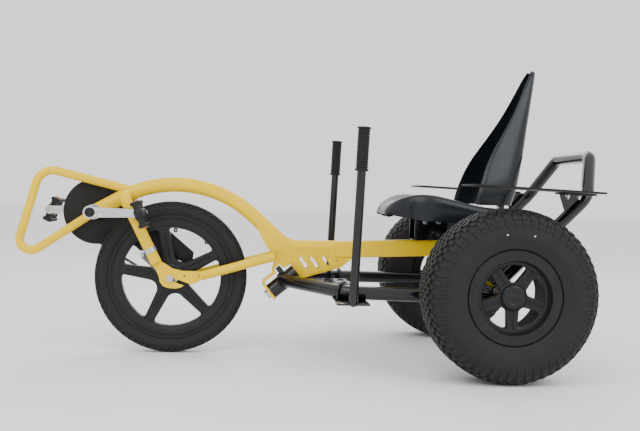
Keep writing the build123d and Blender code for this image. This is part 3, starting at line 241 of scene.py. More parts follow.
def with_modifier(obj, kind, **settings):
    """Adds a modifier, sets it and applies it."""
    work_on(obj)
    modifier = obj.modifiers.new(kind.title(), kind)
    for key, value in settings.items():
        setattr(modifier, key, value)
    bpy.ops.object.modifier_apply(modifier=modifier.name)
    return obj


def smooth(obj, angle=35):
    """Shades smooth across edges that turn less than the angle."""
    work_on(obj)
    bpy.ops.object.shade_smooth_by_angle(angle=radians(angle))
    return obj


def settle(obj):
    """Moves an object's place, turn and scale into its mesh."""
    work_on(obj)
    bpy.ops.object.transform_apply(location=True, rotation=True, scale=True)
    return obj


def clean(obj):
    """Merges doubled points and turns the faces outwards."""
    in_edit(obj)
    bpy.ops.mesh.remove_doubles(threshold=1e-6)
    bpy.ops.mesh.normals_make_consistent(inside=False)
    out_of_edit()
    return obj


def joined(pieces, name):
    """Joins several objects into one."""
    deselect_all()
    for piece in pieces:
        piece.select_set(True)
    bpy.context.view_layer.objects.active = pieces[0]
    if len(pieces) > 1:
        bpy.ops.object.join()
    result = bpy.context.view_layer.objects.active
    result.name = name
    result.data.name = name
    return result


def copy_of(obj, matrix=None):
    """A copy with its own mesh, moved by a matrix that goes into the mesh."""
    twin = obj.copy()
    twin.data = obj.data.copy()
    bpy.context.scene.collection.objects.link(twin)
    if matrix is not None:
        twin.data.transform(matrix)
    return twin


def closed_loop(name, points):
    """A ring of edges through the given points, started from a circle."""
    deselect_all()
    bpy.ops.mesh.primitive_circle_add(vertices=len(points), radius=1, location=(0, 0, 0))
    loop = bpy.context.active_object
    loop.name = name
    for vertex, point in zip(loop.data.vertices, points):
        vertex.co = point
    return loop


def spun(name, outline, centre, side=-1, steps=96, axis=ACROSS):
    """A closed outline of (outboard, radius) in millimetres, spun about an axle."""
    points = [centre + Vector((0, side * a * MM, r * MM)) for a, r in outline]
    obj = closed_loop(name, points)
    in_edit(obj)
    bpy.ops.mesh.spin(steps=steps, angle=2 * pi, center=centre, axis=axis)
    out_of_edit()
    return clean(obj)


def plate(name, outline, y0, y1):
    """A flat plate with a side-view outline in metres, from y0 to y1."""
    obj = closed_loop(name, [Vector((x, y0, z)) for x, z in outline])
    in_edit(obj)
    bpy.ops.mesh.edge_face_add()
    bpy.ops.mesh.extrude_region_move(TRANSFORM_OT_translate={"value": (0, y1 - y0, 0)})
    out_of_edit()
    return clean(obj)


def block(name, size, place=(0, 0, 0), bevel=0.0, segments=2):
    """A box with softened edges, its size in metres."""
    deselect_all()
    bpy.ops.mesh.primitive_cube_add(size=1, location=place)
    obj = bpy.context.active_object
    obj.name = name
    obj.scale = size
    settle(obj)
    if bevel:
        in_edit(obj)
        bpy.ops.mesh.bevel(offset=bevel, segments=segments, affect="EDGES")
        out_of_edit()
    return obj


def cut_with(obj, cutters):
    """Cuts each cutter out of the object and throws the cutters away."""
    for cutter in cutters:
        work_on(obj)
        modifier = obj.modifiers.new("Cut", "BOOLEAN")
        modifier.operation = "DIFFERENCE"
        modifier.solver = "EXACT"
        modifier.object = cutter
        bpy.ops.object.modifier_apply(modifier=modifier.name)
        bpy.data.objects.remove(cutter)
    return obj


def softened(node, name, width, segments=2, angle=32):
    """A copy of a CAD node's shape with its sharp edges rounded over."""
    obj = NODES[node].copy()
    obj.data = NODES[node].data.copy()
    obj.name = name
    obj.data.name = name
    bpy.context.scene.collection.objects.link(obj)
    obj.parent = None
    obj.matrix_world = Matrix.Identity(4)
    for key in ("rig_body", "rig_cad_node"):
        if key in obj:
            del obj[key]
    in_edit(obj)
    bpy.ops.mesh.remove_doubles(threshold=2e-6)
    bpy.ops.mesh.dissolve_limited(angle_limit=radians(1.2))
    out_of_edit()
    with_modifier(
        obj,
        "BEVEL",
        width=width * MM,
        segments=segments,
        limit_method="ANGLE",
        angle_limit=radians(angle),
        use_clamp_overlap=True,
        miter_outer="MITER_ARC",
        harden_normals=False,
    )
    return smooth(obj, 40)


def hand_over(obj, body, material, slot, *nodes):
    """Finishes a piece: its material, the body it rides on and the CAD nodes it stands for."""
    obj.data.materials.clear()
    obj.data.materials.append(material)
    for polygon in obj.data.polygons:
        polygon.material_index = 0
    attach(obj, body)
    if nodes:
        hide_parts(*nodes)
    return obj


def about_axle(centre, degrees):
    """A turn about a line across the kart."""
    return (
        Matrix.Translation(centre)
        @ Matrix.Rotation(radians(degrees), 4, "Y")
        @ Matrix.Translation(-centre)
    )


# ---- Materials ----
def new_material(name):
    """A material, its node tree and its Principled shader."""
    material = bpy.data.materials.new(name)
    material.use_nodes = True
    shader = material.node_tree.nodes["Principled BSDF"]
    return material, material.node_tree, shader


def add_node(tree, kind, **inputs):
    """A node of the given kind with its sockets or settings filled in."""
    node = tree.nodes.new(kind)
    for key, value in inputs.items():
        socket = key.replace("_", " ")
        if socket in node.inputs:
            node.inputs[socket].default_value = value
        else:
            setattr(node, key, value)
    return node


def stretched_place(tree, scale=(1, 1, 1)):
    """Object coordinates, scaled along each axis."""
    place = tree.nodes.new("ShaderNodeTexCoord")
    mapping = tree.nodes.new("ShaderNodeMapping")
    mapping.inputs["Scale"].default_value = scale
    tree.links.new(place.outputs["Object"], mapping.inputs["Vector"])
    return mapping.outputs["Vector"]


def grain(tree, place, size, detail=3.0, rough=0.5):
    """Noise whose features are about size metres across."""
    noise = add_node(tree, "ShaderNodeTexNoise", Scale=1 / size, Detail=detail, Roughness=rough)
    tree.links.new(place, noise.inputs["Vector"])
    return noise.outputs["Fac"]


def between(tree, factor, low, high, start=0.35, end=0.65):
    """A number that runs from low to high with the factor."""
    node = tree.nodes.new("ShaderNodeMapRange")
    node.inputs["From Min"].default_value = start
    node.inputs["From Max"].default_value = end
    node.inputs["To Min"].default_value = low
    node.inputs["To Max"].default_value = high
    tree.links.new(factor, node.inputs["Value"])
    return node.outputs["Result"]


def shaded(tree, factor, dark, light, start=0.35, end=0.65):
    """A colour that runs from dark to light with the factor."""
    ramp = tree.nodes.new("ShaderNodeValToRGB")
    ramp.color_ramp.elements[0].position = start
    ramp.color_ramp.elements[0].color = (*dark, 1)
    ramp.color_ramp.elements[1].position = end
    ramp.color_ramp.elements[1].color = (*light, 1)
    tree.links.new(factor, ramp.inputs["Fac"])
    return ramp.outputs["Color"]


def bumped(tree, shader, height, distance, strength=1.0):
    """Feeds a height into the shader as bump."""
    bump = add_node(tree, "ShaderNodeBump", Strength=strength, Distance=distance)
    tree.links.new(height, bump.inputs["Height"])
    previous = shader.inputs["Normal"].links
    if previous:
        tree.links.new(previous[0].from_socket, bump.inputs["Normal"])
    tree.links.new(bump.outputs["Normal"], shader.inputs["Normal"])


def tint(colour, factor):
    return tuple(min(1.0, channel * factor) for channel in colour)


def gloss_paint(name, colour, rough=0.22, deep=0.9, coat=0.6, specular=0.5):
    """Powder coat: a clear gloss with orange peel and slight pooling of the colour."""
    material, tree, shader = new_material(name)
    place = stretched_place(tree)
    cloud = grain(tree, place, 0.12, 4)
    tree.links.new(shaded(tree, cloud, tint(colour, deep), colour), shader.inputs["Base Color"])
    tree.links.new(
        between(tree, grain(tree, place, 0.02, 5), rough * 0.8, rough * 1.3),
        shader.inputs["Roughness"],
    )
    shader.inputs["Specular IOR Level"].default_value = specular
    shader.inputs["Coat Weight"].default_value = coat
    shader.inputs["Coat Roughness"].default_value = 0.08
    bumped(tree, shader, grain(tree, place, 0.003, 2), 0.0004, 0.35)
    return material


def moulded_plastic(name, colour, rough=0.42, texture=0.0008, depth=0.0003, specular=0.3):
    """Moulded plastic with a fine spark texture and handling marks."""
    material, tree, shader = new_material(name)
    place = stretched_place(tree)
    patch = grain(tree, place, 0.05, 6, 0.6)
    tree.links.new(
        shaded(tree, patch, tint(colour, 0.75), tint(colour, 1.3)), shader.inputs["Base Color"]
    )
    tree.links.new(between(tree, patch, rough * 0.85, rough * 1.2), shader.inputs["Roughness"])
    shader.inputs["Specular IOR Level"].default_value = specular
    bumped(tree, shader, grain(tree, place, texture, 3), depth, 0.5)
    return material


def seat_plastic(name, colour):
    """Polished blow-moulded shell with faint flow ripples and fine scuffs."""
    material, tree, shader = new_material(name)
    place = stretched_place(tree)
    ripple = grain(tree, stretched_place(tree, (1, 1, 0.35)), 0.045, 2)
    scuff = grain(tree, stretched_place(tree, (1, 1, 0.1)), 0.002, 4)
    tree.links.new(
        shaded(tree, grain(tree, place, 0.1, 4), tint(colour, 0.8), tint(colour, 1.4)),
        shader.inputs["Base Color"],
    )
    tree.links.new(between(tree, scuff, 0.2, 0.34, 0.3, 0.75), shader.inputs["Roughness"])
    shader.inputs["Specular IOR Level"].default_value = 0.3
    shader.inputs["Coat Weight"].default_value = 0.05
    shader.inputs["Coat Roughness"].default_value = 0.15
    bumped(tree, shader, ripple, 0.0012, 0.35)
    return material


def tyre_rubber(name, colour):
    """Matt rubber with fine mould grain, a dusty bloom and worn, paler high spots."""
    material, tree, shader = new_material(name)
    place = stretched_place(tree)
    bloom = grain(tree, place, 0.03, 8, 0.65)
    tree.links.new(
        shaded(tree, bloom, tint(colour, 0.7), tint(colour, 1.7), 0.3, 0.75),
        shader.inputs["Base Color"],
    )
    tree.links.new(between(tree, bloom, 0.55, 0.78), shader.inputs["Roughness"])
    shader.inputs["Specular IOR Level"].default_value = 0.25
    shader.inputs["Sheen Weight"].default_value = 0.05
    bumped(tree, shader, grain(tree, place, 0.0015, 5), 0.0004, 0.6)
    bumped(tree, shader, grain(tree, place, 0.012, 2), 0.0006, 0.4)
    return material


def bare_metal(name, colour, rough=0.28, run=(1, 1, 1), line=0.0008):
    """Metal with fine drawn lines along one way and dull patches."""
    material, tree, shader = new_material(name)
    lines = grain(tree, stretched_place(tree, run), line, 3)
    patch = grain(tree, stretched_place(tree), 0.02, 6)
    tree.links.new(
        shaded(tree, patch, tint(colour, 0.78), colour, 0.25, 0.75), shader.inputs["Base Color"]
    )
    tree.links.new(between(tree, lines, rough * 0.7, rough * 1.5), shader.inputs["Roughness"])
    shader.inputs["Metallic"].default_value = 1.0
    bumped(tree, shader, lines, 0.00012, 0.4)
    return material


def prism_plastic(name, colour):
    """Reflector plastic with moulded prism cells."""
    material, tree, shader = new_material(name)
    place = stretched_place(tree)
    cells = add_node(tree, "ShaderNodeTexVoronoi", Scale=420.0)
    tree.links.new(place, cells.inputs["Vector"])
    tree.links.new(
        shaded(tree, cells.outputs["Distance"], tint(colour, 0.6), colour, 0.0, 0.5),
        shader.inputs["Base Color"],
    )
    tree.links.new(
        between(tree, grain(tree, place, 0.004), 0.08, 0.2), shader.inputs["Roughness"]
    )
    shader.inputs["Coat Weight"].default_value = 0.8
    bumped(tree, shader, cells.outputs["Distance"], 0.0008, 0.8)
    return material


def floor_sheet(name):
    """Pale seamless studio paper."""
    material, tree, shader = new_material(name)
    place = stretched_place(tree)
    tree.links.new(
        shaded(tree, grain(tree, place, 0.5, 3), (0.86, 0.86, 0.87), (0.9, 0.9, 0.9)),
        shader.inputs["Base Color"],
    )
    shader.inputs["Roughness"].default_value = 0.75
    return material


MATERIALS = {}


class KART_OT_materials(bpy.types.Operator):
    """Makes every finish and gives each CAD node its own"""

    bl_idname = "kart.materials"
    bl_label = "Materials"

    def execute(self, context):
        paint = context.scene.kart_paint
        MATERIALS.update(
            yellow=gloss_paint(
                "frame_yellow_gloss", tuple(paint.frame_colour), 0.3, 0.93, 0.06, 0.2
            ),
            black=gloss_paint(
                "rear_frame_black_gloss", tuple(paint.tube_colour), 0.16, 0.8, 0.25, 0.35
            ),
            seat=seat_plastic("seat_polished_black", tuple(paint.seat_colour)),
            plate=moulded_plastic("flat_black_sheet", (0.006, 0.006, 0.006), 0.55, specular=0.3),
            wheel=moulded_plastic("wheel_moulded_black", (0.007, 0.0075, 0.009), 0.4),
            cap=moulded_plastic("cap_black", (0.007, 0.007, 0.008), 0.3),
            pedal=moulded_plastic("pedal_black_nylon", (0.009, 0.009, 0.009), 0.36),
            rubber=tyre_rubber("tyre_rubber", tuple(paint.rubber_colour)),
            grip=tyre_rubber("grip_rubber", (0.009, 0.009, 0.01)),
            zinc=bare_metal("zinc_plated_steel", (0.62, 0.63, 0.64), 0.3),
            alloy=bare_metal("crank_alloy", (0.68, 0.69, 0.72), 0.25, (0.15, 1, 1)),
            steel=bare_metal("oiled_chain_steel", (0.16, 0.15, 0.14), 0.35),
            bearing=bare_metal("bearing_steel", (0.5, 0.5, 0.5), 0.2),
            amber=prism_plastic("reflector_amber", (0.75, 0.22, 0.03)),
            # Plain white plastic for the painted highlight dots on the near rear tyre's sidewall
            white=moulded_plastic("painted_highlight_white", (0.7, 0.7, 0.7), 0.6),
        )
        finishes = {
            "yellow": "arch_tube bottom_bracket_shell seat_beam bumper_loop fork_legs dropouts "
            "lower_stays neck_plates pivot_plates",
            "black": "pivot_sleeve side_tubes web_plate axle_tube levers lever_brackets roll_bar "
            "pan_bracket back_bracket mudguard_tabs lever_ubolts_and_nuts",
            "seat": "seat_pan seat_back",
            "plate": "mudguards chain_guard",
            "cap": "hub_cap_left hub_cap_right",
            "pedal": "pedal_body_left pedal_body_right",
            "wheel": "front_rim rear_rim_left rear_rim_right",
            "rubber": "front_tyre rear_tyre_left rear_tyre_right",
            "grip": "grips",
            "zinc": "pivot_bolt_and_nut front_axle front_cones front_axle_nuts brake_clamp_set "
            "seat_bolts rear_axle rear_spacers rear_axle_nuts "
            "mudguard_bolts front_hub bearing_cups crank_spindle pedal_spindles",
            "alloy": "crank_arms",
            "steel": "chain chainring front_sprocket brake_lever",
            "bearing": "front_bearings rear_bearings_left rear_bearings_right pivot_bushes",
            "amber": "pedal_reflectors_left pedal_reflectors_right",
        }
        for finish, names in finishes.items():
            for name in names.split():
                mesh = NODES[name].data
                mesh.materials.clear()
                mesh.materials.append(MATERIALS[finish])
        return {"FINISHED"}


# ---- Tyres ----
def tread_block(width, length, height, skew=0.0, taper=0.82, bevel=0.0009):
    """One rubber block standing on the origin: x along the tyre, y across it, z outwards."""
    obj = block("block", (length * MM, width * MM, height * MM))
    for vertex in obj.data.vertices:
        vertex.co.z += height * MM / 2
        if vertex.co.z > height * MM / 2:
            vertex.co.x *= taper
            vertex.co.y *= 0.9
        vertex.co.y += vertex.co.x * skew
    in_edit(obj)
    top = height * MM * 0.99
    pick_edges(obj, lambda edge: all(v.co.z > top for v in edge.verts))
    bpy.ops.mesh.bevel(offset=bevel, segments=2, affect="EDGES")
    pick_faces(obj, lambda face: face.normal.z < -0.99)
    bpy.ops.mesh.delete(type="FACE")
    out_of_edit()
    return obj


def standing(obj, centre, out_mm, radius_mm, tilt=0.0, turn=0.0, side=-1):
    """Stands a block on a tyre at an outboard distance and radius, tilted outboard."""
    matrix = (
        Matrix.Translation(centre)
        @ Matrix.Rotation(radians(turn), 4, "Y")
        @ Matrix.Translation((0, side * out_mm * MM, radius_mm * MM))
        @ Matrix.Rotation(radians(-side * tilt), 4, "X")
    )
    obj.data.transform(matrix)
    return obj


def round_the_tyre(obj, centre, count):
    """Repeats what is modelled at one pitch all round the tyre."""
    in_edit(obj)
    bpy.ops.mesh.spin(
        steps=count - 1,
        dupli=True,
        angle=2 * pi * (count - 1) / count,
        center=centre,
        axis=ACROSS,
    )
    out_of_edit()
    return obj


def wide_tyre(side, body, node, centre, sizes):
    """A turf tyre: a carcass with sidewall rings, staggered blocks and shoulder bars."""
    base = REAR_TYRE_R - sizes.turf_depth / MM
    half = [
        (50, 101.9),
        (62.6, 102.0),
        (63.1, 124.8),
        (66.0, 127.4),
        (70.5, 127.6),
        (72.5, 130.5),
        (74.5, 136),
        (77.5, 145),
        (79.5, 150),
        (80.4, 151),
        (81.0, 158),
        (82.2, 168),
        (81.8, 178),
        (80.4, 188),
        (79.2, 189),
        (78.0, 198),
        (74.5, 208),
        (68.0, 215),
        (56.0, base - 3),
        (38.0, base),
        (14.0, base + 0.5),
    ]
    inner = [(20, 214), (56, 206), (70, 186), (71, 160), (60, 128)]
    outline = half + [(-a, r) for a, r in reversed(half)]
    outline += [(-a, r) for a, r in reversed(inner)] + inner
    carcass = spun("carcass", outline, centre, side, 120)
    depth = sizes.turf_depth / MM
    pitch = 360 / sizes.turf_blocks
    across_blocks = (
        (0, base - 0.5, 12, 19, depth + 0.5, 0, 0.0, 0.35),
        (15.5, base - 0.5, 13, 19, depth + 0.5, 0, 0.5, -0.45),
        (-15.5, base - 0.5, 13, 19, depth + 0.5, 0, 0.5, 0.45),
        (31, base - 1, 13, 18, depth + 0.6, 3, 0.0, 0.45),
        (-31, base - 1, 13, 18, depth + 0.6, 3, 0.0, -0.45),
        (46, base - 2.5, 13, 17, depth + 1.2, 9, 0.5, -0.3),
        (-46, base - 2.5, 13, 17, depth + 1.2, 9, 0.5, 0.3),
        (59.5, 215.5, 13, 15, depth + 0.5, 26, 0.0, 0.2),
        (-59.5, 215.5, 13, 15, depth + 0.5, 26, 0.0, -0.2),
        (72, 209, 18, 13, 4.6, 54, 0.5, 0.0),
        (-72, 209, 18, 13, 4.6, 54, 0.5, 0.0),
        (79.0, 194, 20, 7, 2.2, 77, 0.5, 0.0),
        (-79.0, 194, 20, 7, 2.2, 77, 0.5, 0.0),
    )
    blocks = []
    for out, radius, width, length, height, tilt, share, skew in across_blocks:
        piece = tread_block(width, length, height, skew)
        lean = tilt if out > 0 else -tilt
        blocks.append(standing(piece, centre, out, radius, lean, share * pitch, side))
    tread = round_the_tyre(joined(blocks, "tread"), centre, sizes.turf_blocks)
    tyre = joined([carcass, tread], "turf_tyre_" + body)
    smooth(tyre, 42)
    return hand_over(tyre, body, MATERIALS["rubber"], "tyre", node)


class KART_OT_rear_tyres(bpy.types.Operator):
    """Models the two wide turf tyres with their tread, and two painted highlight dots on the near
    sidewall
    """

    bl_idname = "kart.rear_tyres"
    bl_label = "Rear tyres"

    def execute(self, context):
        sizes = context.scene.kart_sizes
        right = Vector(JOINTS["rear_wheel_right_spin"]["pos_m"])
        wide_tyre(-1, "rear_wheel_left", "rear_tyre_left", REAR_AXLE_LEFT, sizes)
        wide_tyre(1, "rear_wheel_right", "rear_tyre_right", right, sizes)
        # Two small white dots at the top of the near sidewall bulge: painted highlights standing
        # in for lamp glints, not marks on the rubber
        highlight_spots = []
        for turn in (-11, 14):
            deselect_all()
            bpy.ops.mesh.primitive_uv_sphere_add(segments=12, ring_count=8, radius=0.0022)
            highlight_spot = bpy.context.active_object
            highlight_spot.data.transform(Matrix.Diagonal((1, 0.35, 1, 1)))
            spot = REAR_AXLE_LEFT + Vector((0, -0.0822, 0.166))
            highlight_spot.data.transform(Matrix.Translation(spot))
            highlight_spot.data.transform(about_axle(REAR_AXLE_LEFT, turn))
            highlight_spots.append(highlight_spot)
        dots = smooth(joined(highlight_spots, "painted_sidewall_highlights"), 60)
        hand_over(dots, "rear_wheel_left", MATERIALS["white"], "tyre")
        return {"FINISHED"}


class KART_OT_front_tyre(bpy.types.Operator):
    """Models the narrow front tyre with small blocks"""

    bl_idname = "kart.front_tyre"
    bl_label = "Front tyre"

    def execute(self, context):
        sizes = context.scene.kart_sizes
        depth = sizes.road_depth / MM
        base = FRONT_TYRE_R - depth
        half = [
            (9, 177.9),
            (12.6, 178),
            (12.6, 183.8),
            (15.5, 185.3),
            (17.5, 185.4),
            (18.6, 187.5),
            (21.5, 191),
            (24.2, 198),
            (25.0, 203),
            (24.4, 208),
            (21.6, 212.5),
            (17.0, base - 2.4),
            (11, base - 0.7),
            (4, base),
        ]
        inner = [(8, 214), (17, 208), (20.5, 200), (15, 188)]
        outline = half + [(-a, r) for a, r in reversed(half)]
        outline += [(-a, r) for a, r in reversed(inner)] + inner
        carcass = spun("carcass", outline, FRONT_AXLE, -1, 128)
        pitch = 360 / sizes.road_blocks
        rows = (
            (0, base - 0.3, 7, 13, depth + 0.3, 0, 0.0, 0.25),
            (8.2, base - 0.8, 6.5, 11, depth + 0.4, 6, 0.5, -0.3),
            (-8.2, base - 0.8, 6.5, 11, depth + 0.4, 6, 0.5, 0.3),
            (15.6, base - 2.4, 7, 12, depth + 0.6, 24, 0.0, 0.2),
            (-15.6, base - 2.4, 7, 12, depth + 0.6, 24, 0.0, -0.2),
            (20.6, 213.2, 8, 9, 4.0, 50, 0.5, 0.0),
            (-20.6, 213.2, 8, 9, 4.0, 50, 0.5, 0.0),
            (24.1, 206.5, 7, 5, 1.6, 80, 0.0, 0.0),
            (-24.1, 206.5, 7, 5, 1.6, 80, 0.0, 0.0),
        )
        blocks = []
        for out, radius, width, length, height, tilt, share, skew in rows:
            piece = tread_block(width, length, height, skew, bevel=0.0006)
            lean = tilt if out > 0 else -tilt
            blocks.append(standing(piece, FRONT_AXLE, out, radius, lean, share * pitch))
        tread = round_the_tyre(joined(blocks, "tread"), FRONT_AXLE, sizes.road_blocks)
        tyre = smooth(joined([carcass, tread], "front_wheel_tyre"), 42)
        hand_over(tyre, "front_wheel", MATERIALS["rubber"], "tyre", "front_tyre")
        return {"FINISHED"}


# ---- Moulded wheels ----
def window(centre, angle, inner_r, outer_r, root, tip, y0, y1, corner):
    """A cutter for the opening between two spokes, with rounded corners."""
    half = radians(SPOKE_STEP / 2)
    arc = []
    edge_out = half - asin(tip / outer_r)
    for step in range(7):
        turn = -edge_out + 2 * edge_out * step / 6
        arc.append((outer_r * cos(turn), outer_r * sin(turn)))
    edge_in = half - asin(min(0.95, root / inner_r))
    inner = [
        (inner_r * cos(edge_in), inner_r * sin(edge_in)),
        (inner_r * cos(edge_in), -inner_r * sin(edge_in)),
    ]
    outline = []
    for x, y in arc + inner:
        turn = radians(angle)
        outline.append(
            (
                centre.x + (x * cos(turn) - y * sin(turn)) * MM,
                centre.z + (x * sin(turn) + y * cos(turn)) * MM,
            )
        )
    cutter = plate("window", outline, y0, y1)
    corners = [outline[0], outline[6], outline[7], outline[8]]

    def at_corner(edge):
        a, b = edge.verts
        if abs(a.co.y - b.co.y) < 1e-4:
            return False
        return any(hypot(a.co.x - x, a.co.z - z) < 2e-4 for x, z in corners)

    in_edit(cutter)
    pick_edges(cutter, at_corner)
    bpy.ops.mesh.bevel(offset=corner * MM, segments=6, affect="EDGES", clamp_overlap=True)
    out_of_edit()
    return cutter


class KART_OT_front_rim(bpy.types.Operator):
    """Models the five-spoke moulded front wheel with its rim steps and valve"""

    bl_idname = "kart.front_rim"
    bl_label = "Front wheel"

    def execute(self, context):
        centre = FRONT_AXLE
        disc_half = [
            (11.5, 40),
            (11.5, 120),
            (12.5, 142),
            (10.5, 149),
            (14.0, 156),
            (15.6, 166),
            (15.6, 171),
            (14.0, 172.5),
            (14.0, 175.5),
            (16.0, 177),
            (16.0, 184),
            (13.0, 184),
            (13.0, 177.6),
        ]
        half = [(26, 24), (26, 33), (23, 40), (12.5, 41), *disc_half]
        outline = half + [(-a, r) for a, r in reversed(half)]
        outline += [(-22, 22.2), (22, 22.2)]
        wheel = spun("wheel", outline, centre, -1, 120)
        cutters = []
        for spoke in range(SPOKES):
            angle = FRONT_SPOKE_START + (spoke + 0.5) * SPOKE_STEP
            cutters.append(window(centre, angle, 52, 146, 19, 14.5, -0.04, 0.04, 11))
        for face_y in (-1, 1):
            for spoke in range(SPOKES):
                groove = block("groove", (0.072, 0.006, 0.009), (0, 0, 0), 0.0025, 3)
                groove.data.transform(Matrix.Translation((0.092, face_y * 0.0128, 0)))
                turn = radians(FRONT_SPOKE_START + spoke * SPOKE_STEP)
                groove.data.transform(Matrix.Rotation(-turn, 4, "Y"))
                groove.data.transform(Matrix.Translation(centre))
                cutters.append(groove)
        cut_with(wheel, cutters)
        with_modifier(
            wheel,
            "BEVEL",
            width=0.0014,
            segments=2,
            limit_method="ANGLE",
            angle_limit=radians(50),
            use_clamp_overlap=True,
        )
        lugs = []
        for x, z in ((0.009, 0.1385), (0.101, 0.1045)):
            deselect_all()
            bpy.ops.mesh.primitive_torus_add(
                major_segments=28, minor_segments=10, major_radius=0.0042, minor_radius=0.0024
            )
            eye = bpy.context.active_object
            reach = Vector((x, 0, z))
            eye.data.transform(Matrix.Rotation(pi / 2, 4, "X"))
            eye.data.transform(Matrix.Translation(centre + reach))
            stem = block("stem", (0.005, 0.005, 0.012), (0, 0, 0), 0.001)
            stem.data.transform(Matrix.Rotation(atan2(x, z), 4, "Y"))
            stem.data.transform(Matrix.Translation(centre + reach * 1.07))
            lugs += [eye, stem]
        wheel = smooth(joined([wheel, *lugs], "front_moulded_wheel"), 40)
        hand_over(wheel, "front_wheel", MATERIALS["wheel"], "wheel_plastic", "front_rim")
        valve = spun(
            "front_valve",
            [(0.2, 0), (3.6, 0), (3.8, 8), (2.9, 12), (2.9, 22), (3.5, 23), (3.5, 31), (0.2, 32)],
            Vector((0, 0, 0)),
            1,
            20,
            Vector((0, 0, 1)),
        )
        turn = radians(140)
        way = Vector((cos(turn), 0, sin(turn)))
        stand = way.to_track_quat("Z", "Y").to_matrix().to_4x4()
        valve.data.transform(
            Matrix.Translation(centre + way * 0.15) @ stand @ Matrix.Rotation(pi, 4, "X")
        )
        hand_over(smooth(valve, 30), "front_wheel", MATERIALS["grip"], "grip_rubber")
        return {"FINISHED"}


def deep_rim(side, body, nodes, centre):
    """A wide moulded rim: barrel, ring steps, ribbed spokes and boss."""
    half_profile = [
        (64, 96),
        (68.5, 98),
        (69, 101),
        (69, 123),
        (67.5, 124.6),
        (64.6, 124.2),
        (63.6, 102.2),
    ]
    barrel = half_profile + [(-a, r) for a, r in reversed(half_profile)]
    rim = spun("rim", barrel, centre, side, 112)
    disc = spun(
        "disc",
        [
            (30, 18),
            (46, 18),
            (46, 60),
            (47, 82),
            (50.5, 86),
            (50.5, 92),
            (60, 95.2),
            (60, 97.5),
            (28, 97.5),
            (28, 88),
            (30, 84),
        ],
        centre,
        side,
        112,
    )
    face = centre.y + side * 0.046
    cutters = []
    for spoke in range(SPOKES):
        angle = REAR_SPOKE_START + (spoke + 0.5) * SPOKE_STEP
        low, high = sorted((centre.y + side * 0.02, centre.y + side * 0.058))
        cutters.append(window(centre, angle, 37, 84, 16.5, 14, low, high, 6))
    for spoke in range(SPOKES):
        groove = block("groove", (0.046, 0.005, 0.0075), (0, 0, 0), 0.002, 3)
        groove.data.transform(Matrix.Translation((0.062, 0, 0)))
        turn = radians(REAR_SPOKE_START + spoke * SPOKE_STEP)
        groove.data.transform(Matrix.Rotation(-turn, 4, "Y"))
        groove.data.transform(Matrix.Translation((centre.x, face, centre.z)))
        cutters.append(groove)
    cut_with(disc, cutters)
    boss = spun(
        "boss",
        [
            (-36, 17.2),
            (54, 17.2),
            (54, 31.5),
            (52, 33.5),
            (47, 34.5),
            (45.5, 38),
            (31, 38),
            (29, 30),
            (-34, 28),
            (-36, 26),
        ],
        centre,
        side,
        64,
    )
    for piece, width in ((disc, 0.0012), (boss, 0.0008)):
        with_modifier(
            piece,
            "BEVEL",
            width=width,
            segments=2,
            limit_method="ANGLE",
            angle_limit=radians(50),
            use_clamp_overlap=True,
        )
    wheel = smooth(joined([rim, disc, boss], "moulded_" + body), 38)
    return hand_over(wheel, body, MATERIALS["wheel"], "wheel_plastic", *nodes)


def dished_cap(side, body, node, centre):
    """The push-in cap over the wheel nut, with a recess and a small rim."""
    outline = [
        (54.1, 0.6),
        (57.2, 0.6),
        (57.2, 17),
        (58.2, 18.6),
        (59, 20),
        (59, 25.5),
        (58, 28.5),
        (56.4, 30.8),
        (54.1, 31),
    ]
    cap = smooth(spun("cap_" + body, outline, centre, side, 72), 40)
    return hand_over(cap, body, MATERIALS["cap"], "guard_plastic", node)


class KART_OT_rear_wheels(bpy.types.Operator):
    """Models the two wide moulded wheels and their caps"""

    bl_idname = "kart.rear_wheels"
    bl_label = "Rear wheels"

    def execute(self, context):
        right = Vector(JOINTS["rear_wheel_right_spin"]["pos_m"])
        for side, word, centre in ((-1, "left", REAR_AXLE_LEFT), (1, "right", right)):
            body = "rear_wheel_" + word
            deep_rim(side, body, ["rear_rim_" + word], centre)
            dished_cap(side, body, "hub_cap_" + word, centre)
        return {"FINISHED"}


# ---- Seat ----
def sheet_of_rows(name, rows):
    """A grid of faces through rows of points, started from a grid primitive."""
    count = len(rows[0])
    deselect_all()
    bpy.ops.mesh.primitive_grid_add(
        x_subdivisions=count - 1, y_subdivisions=len(rows) - 1, size=1, location=(0, 0, 0)
    )
    obj = bpy.context.active_object
    obj.name = name
    for vertex in obj.data.vertices:
        column = round((vertex.co.x + 0.5) * (count - 1))
        row = round((vertex.co.y + 0.5) * (len(rows) - 1))
        vertex.co = rows[row][column]
    return obj


def facing(obj, wanted):
    """Turns an open sheet over where its faces point away from the wanted side."""
    in_edit(obj)
    bpy.ops.mesh.normals_make_consistent(inside=False)
    out_of_edit()
    if sum(wanted(polygon) for polygon in obj.data.polygons) < 0:
        in_edit(obj)
        bpy.ops.mesh.flip_normals()
        out_of_edit()
    return obj


def rear_facing(polygon):
    """How far a face near the middle of the back looks to the rear, by its area."""
    near_middle = abs(polygon.center.y) < 0.02
    return polygon.normal.x * polygon.area if near_middle else 0


def creased(obj, test, amount):
    """Creases the edges that pass the test before subdivision."""
    in_edit(obj)
    pick_edges(obj, test)
    bpy.ops.transform.edge_crease(value=amount)
    out_of_edit()


def shell_from(obj, wall, levels=3):
    """Subdivides a sheet, gives it a wall and rounds the rim."""
    with_modifier(obj, "SUBSURF", levels=levels, render_levels=levels)
    with_modifier(obj, "SOLIDIFY", thickness=wall, offset=-1, use_even_offset=True)
    with_modifier(
        obj,
        "BEVEL",
        width=wall * 0.42,
        segments=3,
        limit_method="ANGLE",
        angle_limit=radians(55),
        use_clamp_overlap=True,
    )
    return smooth(obj, 50)


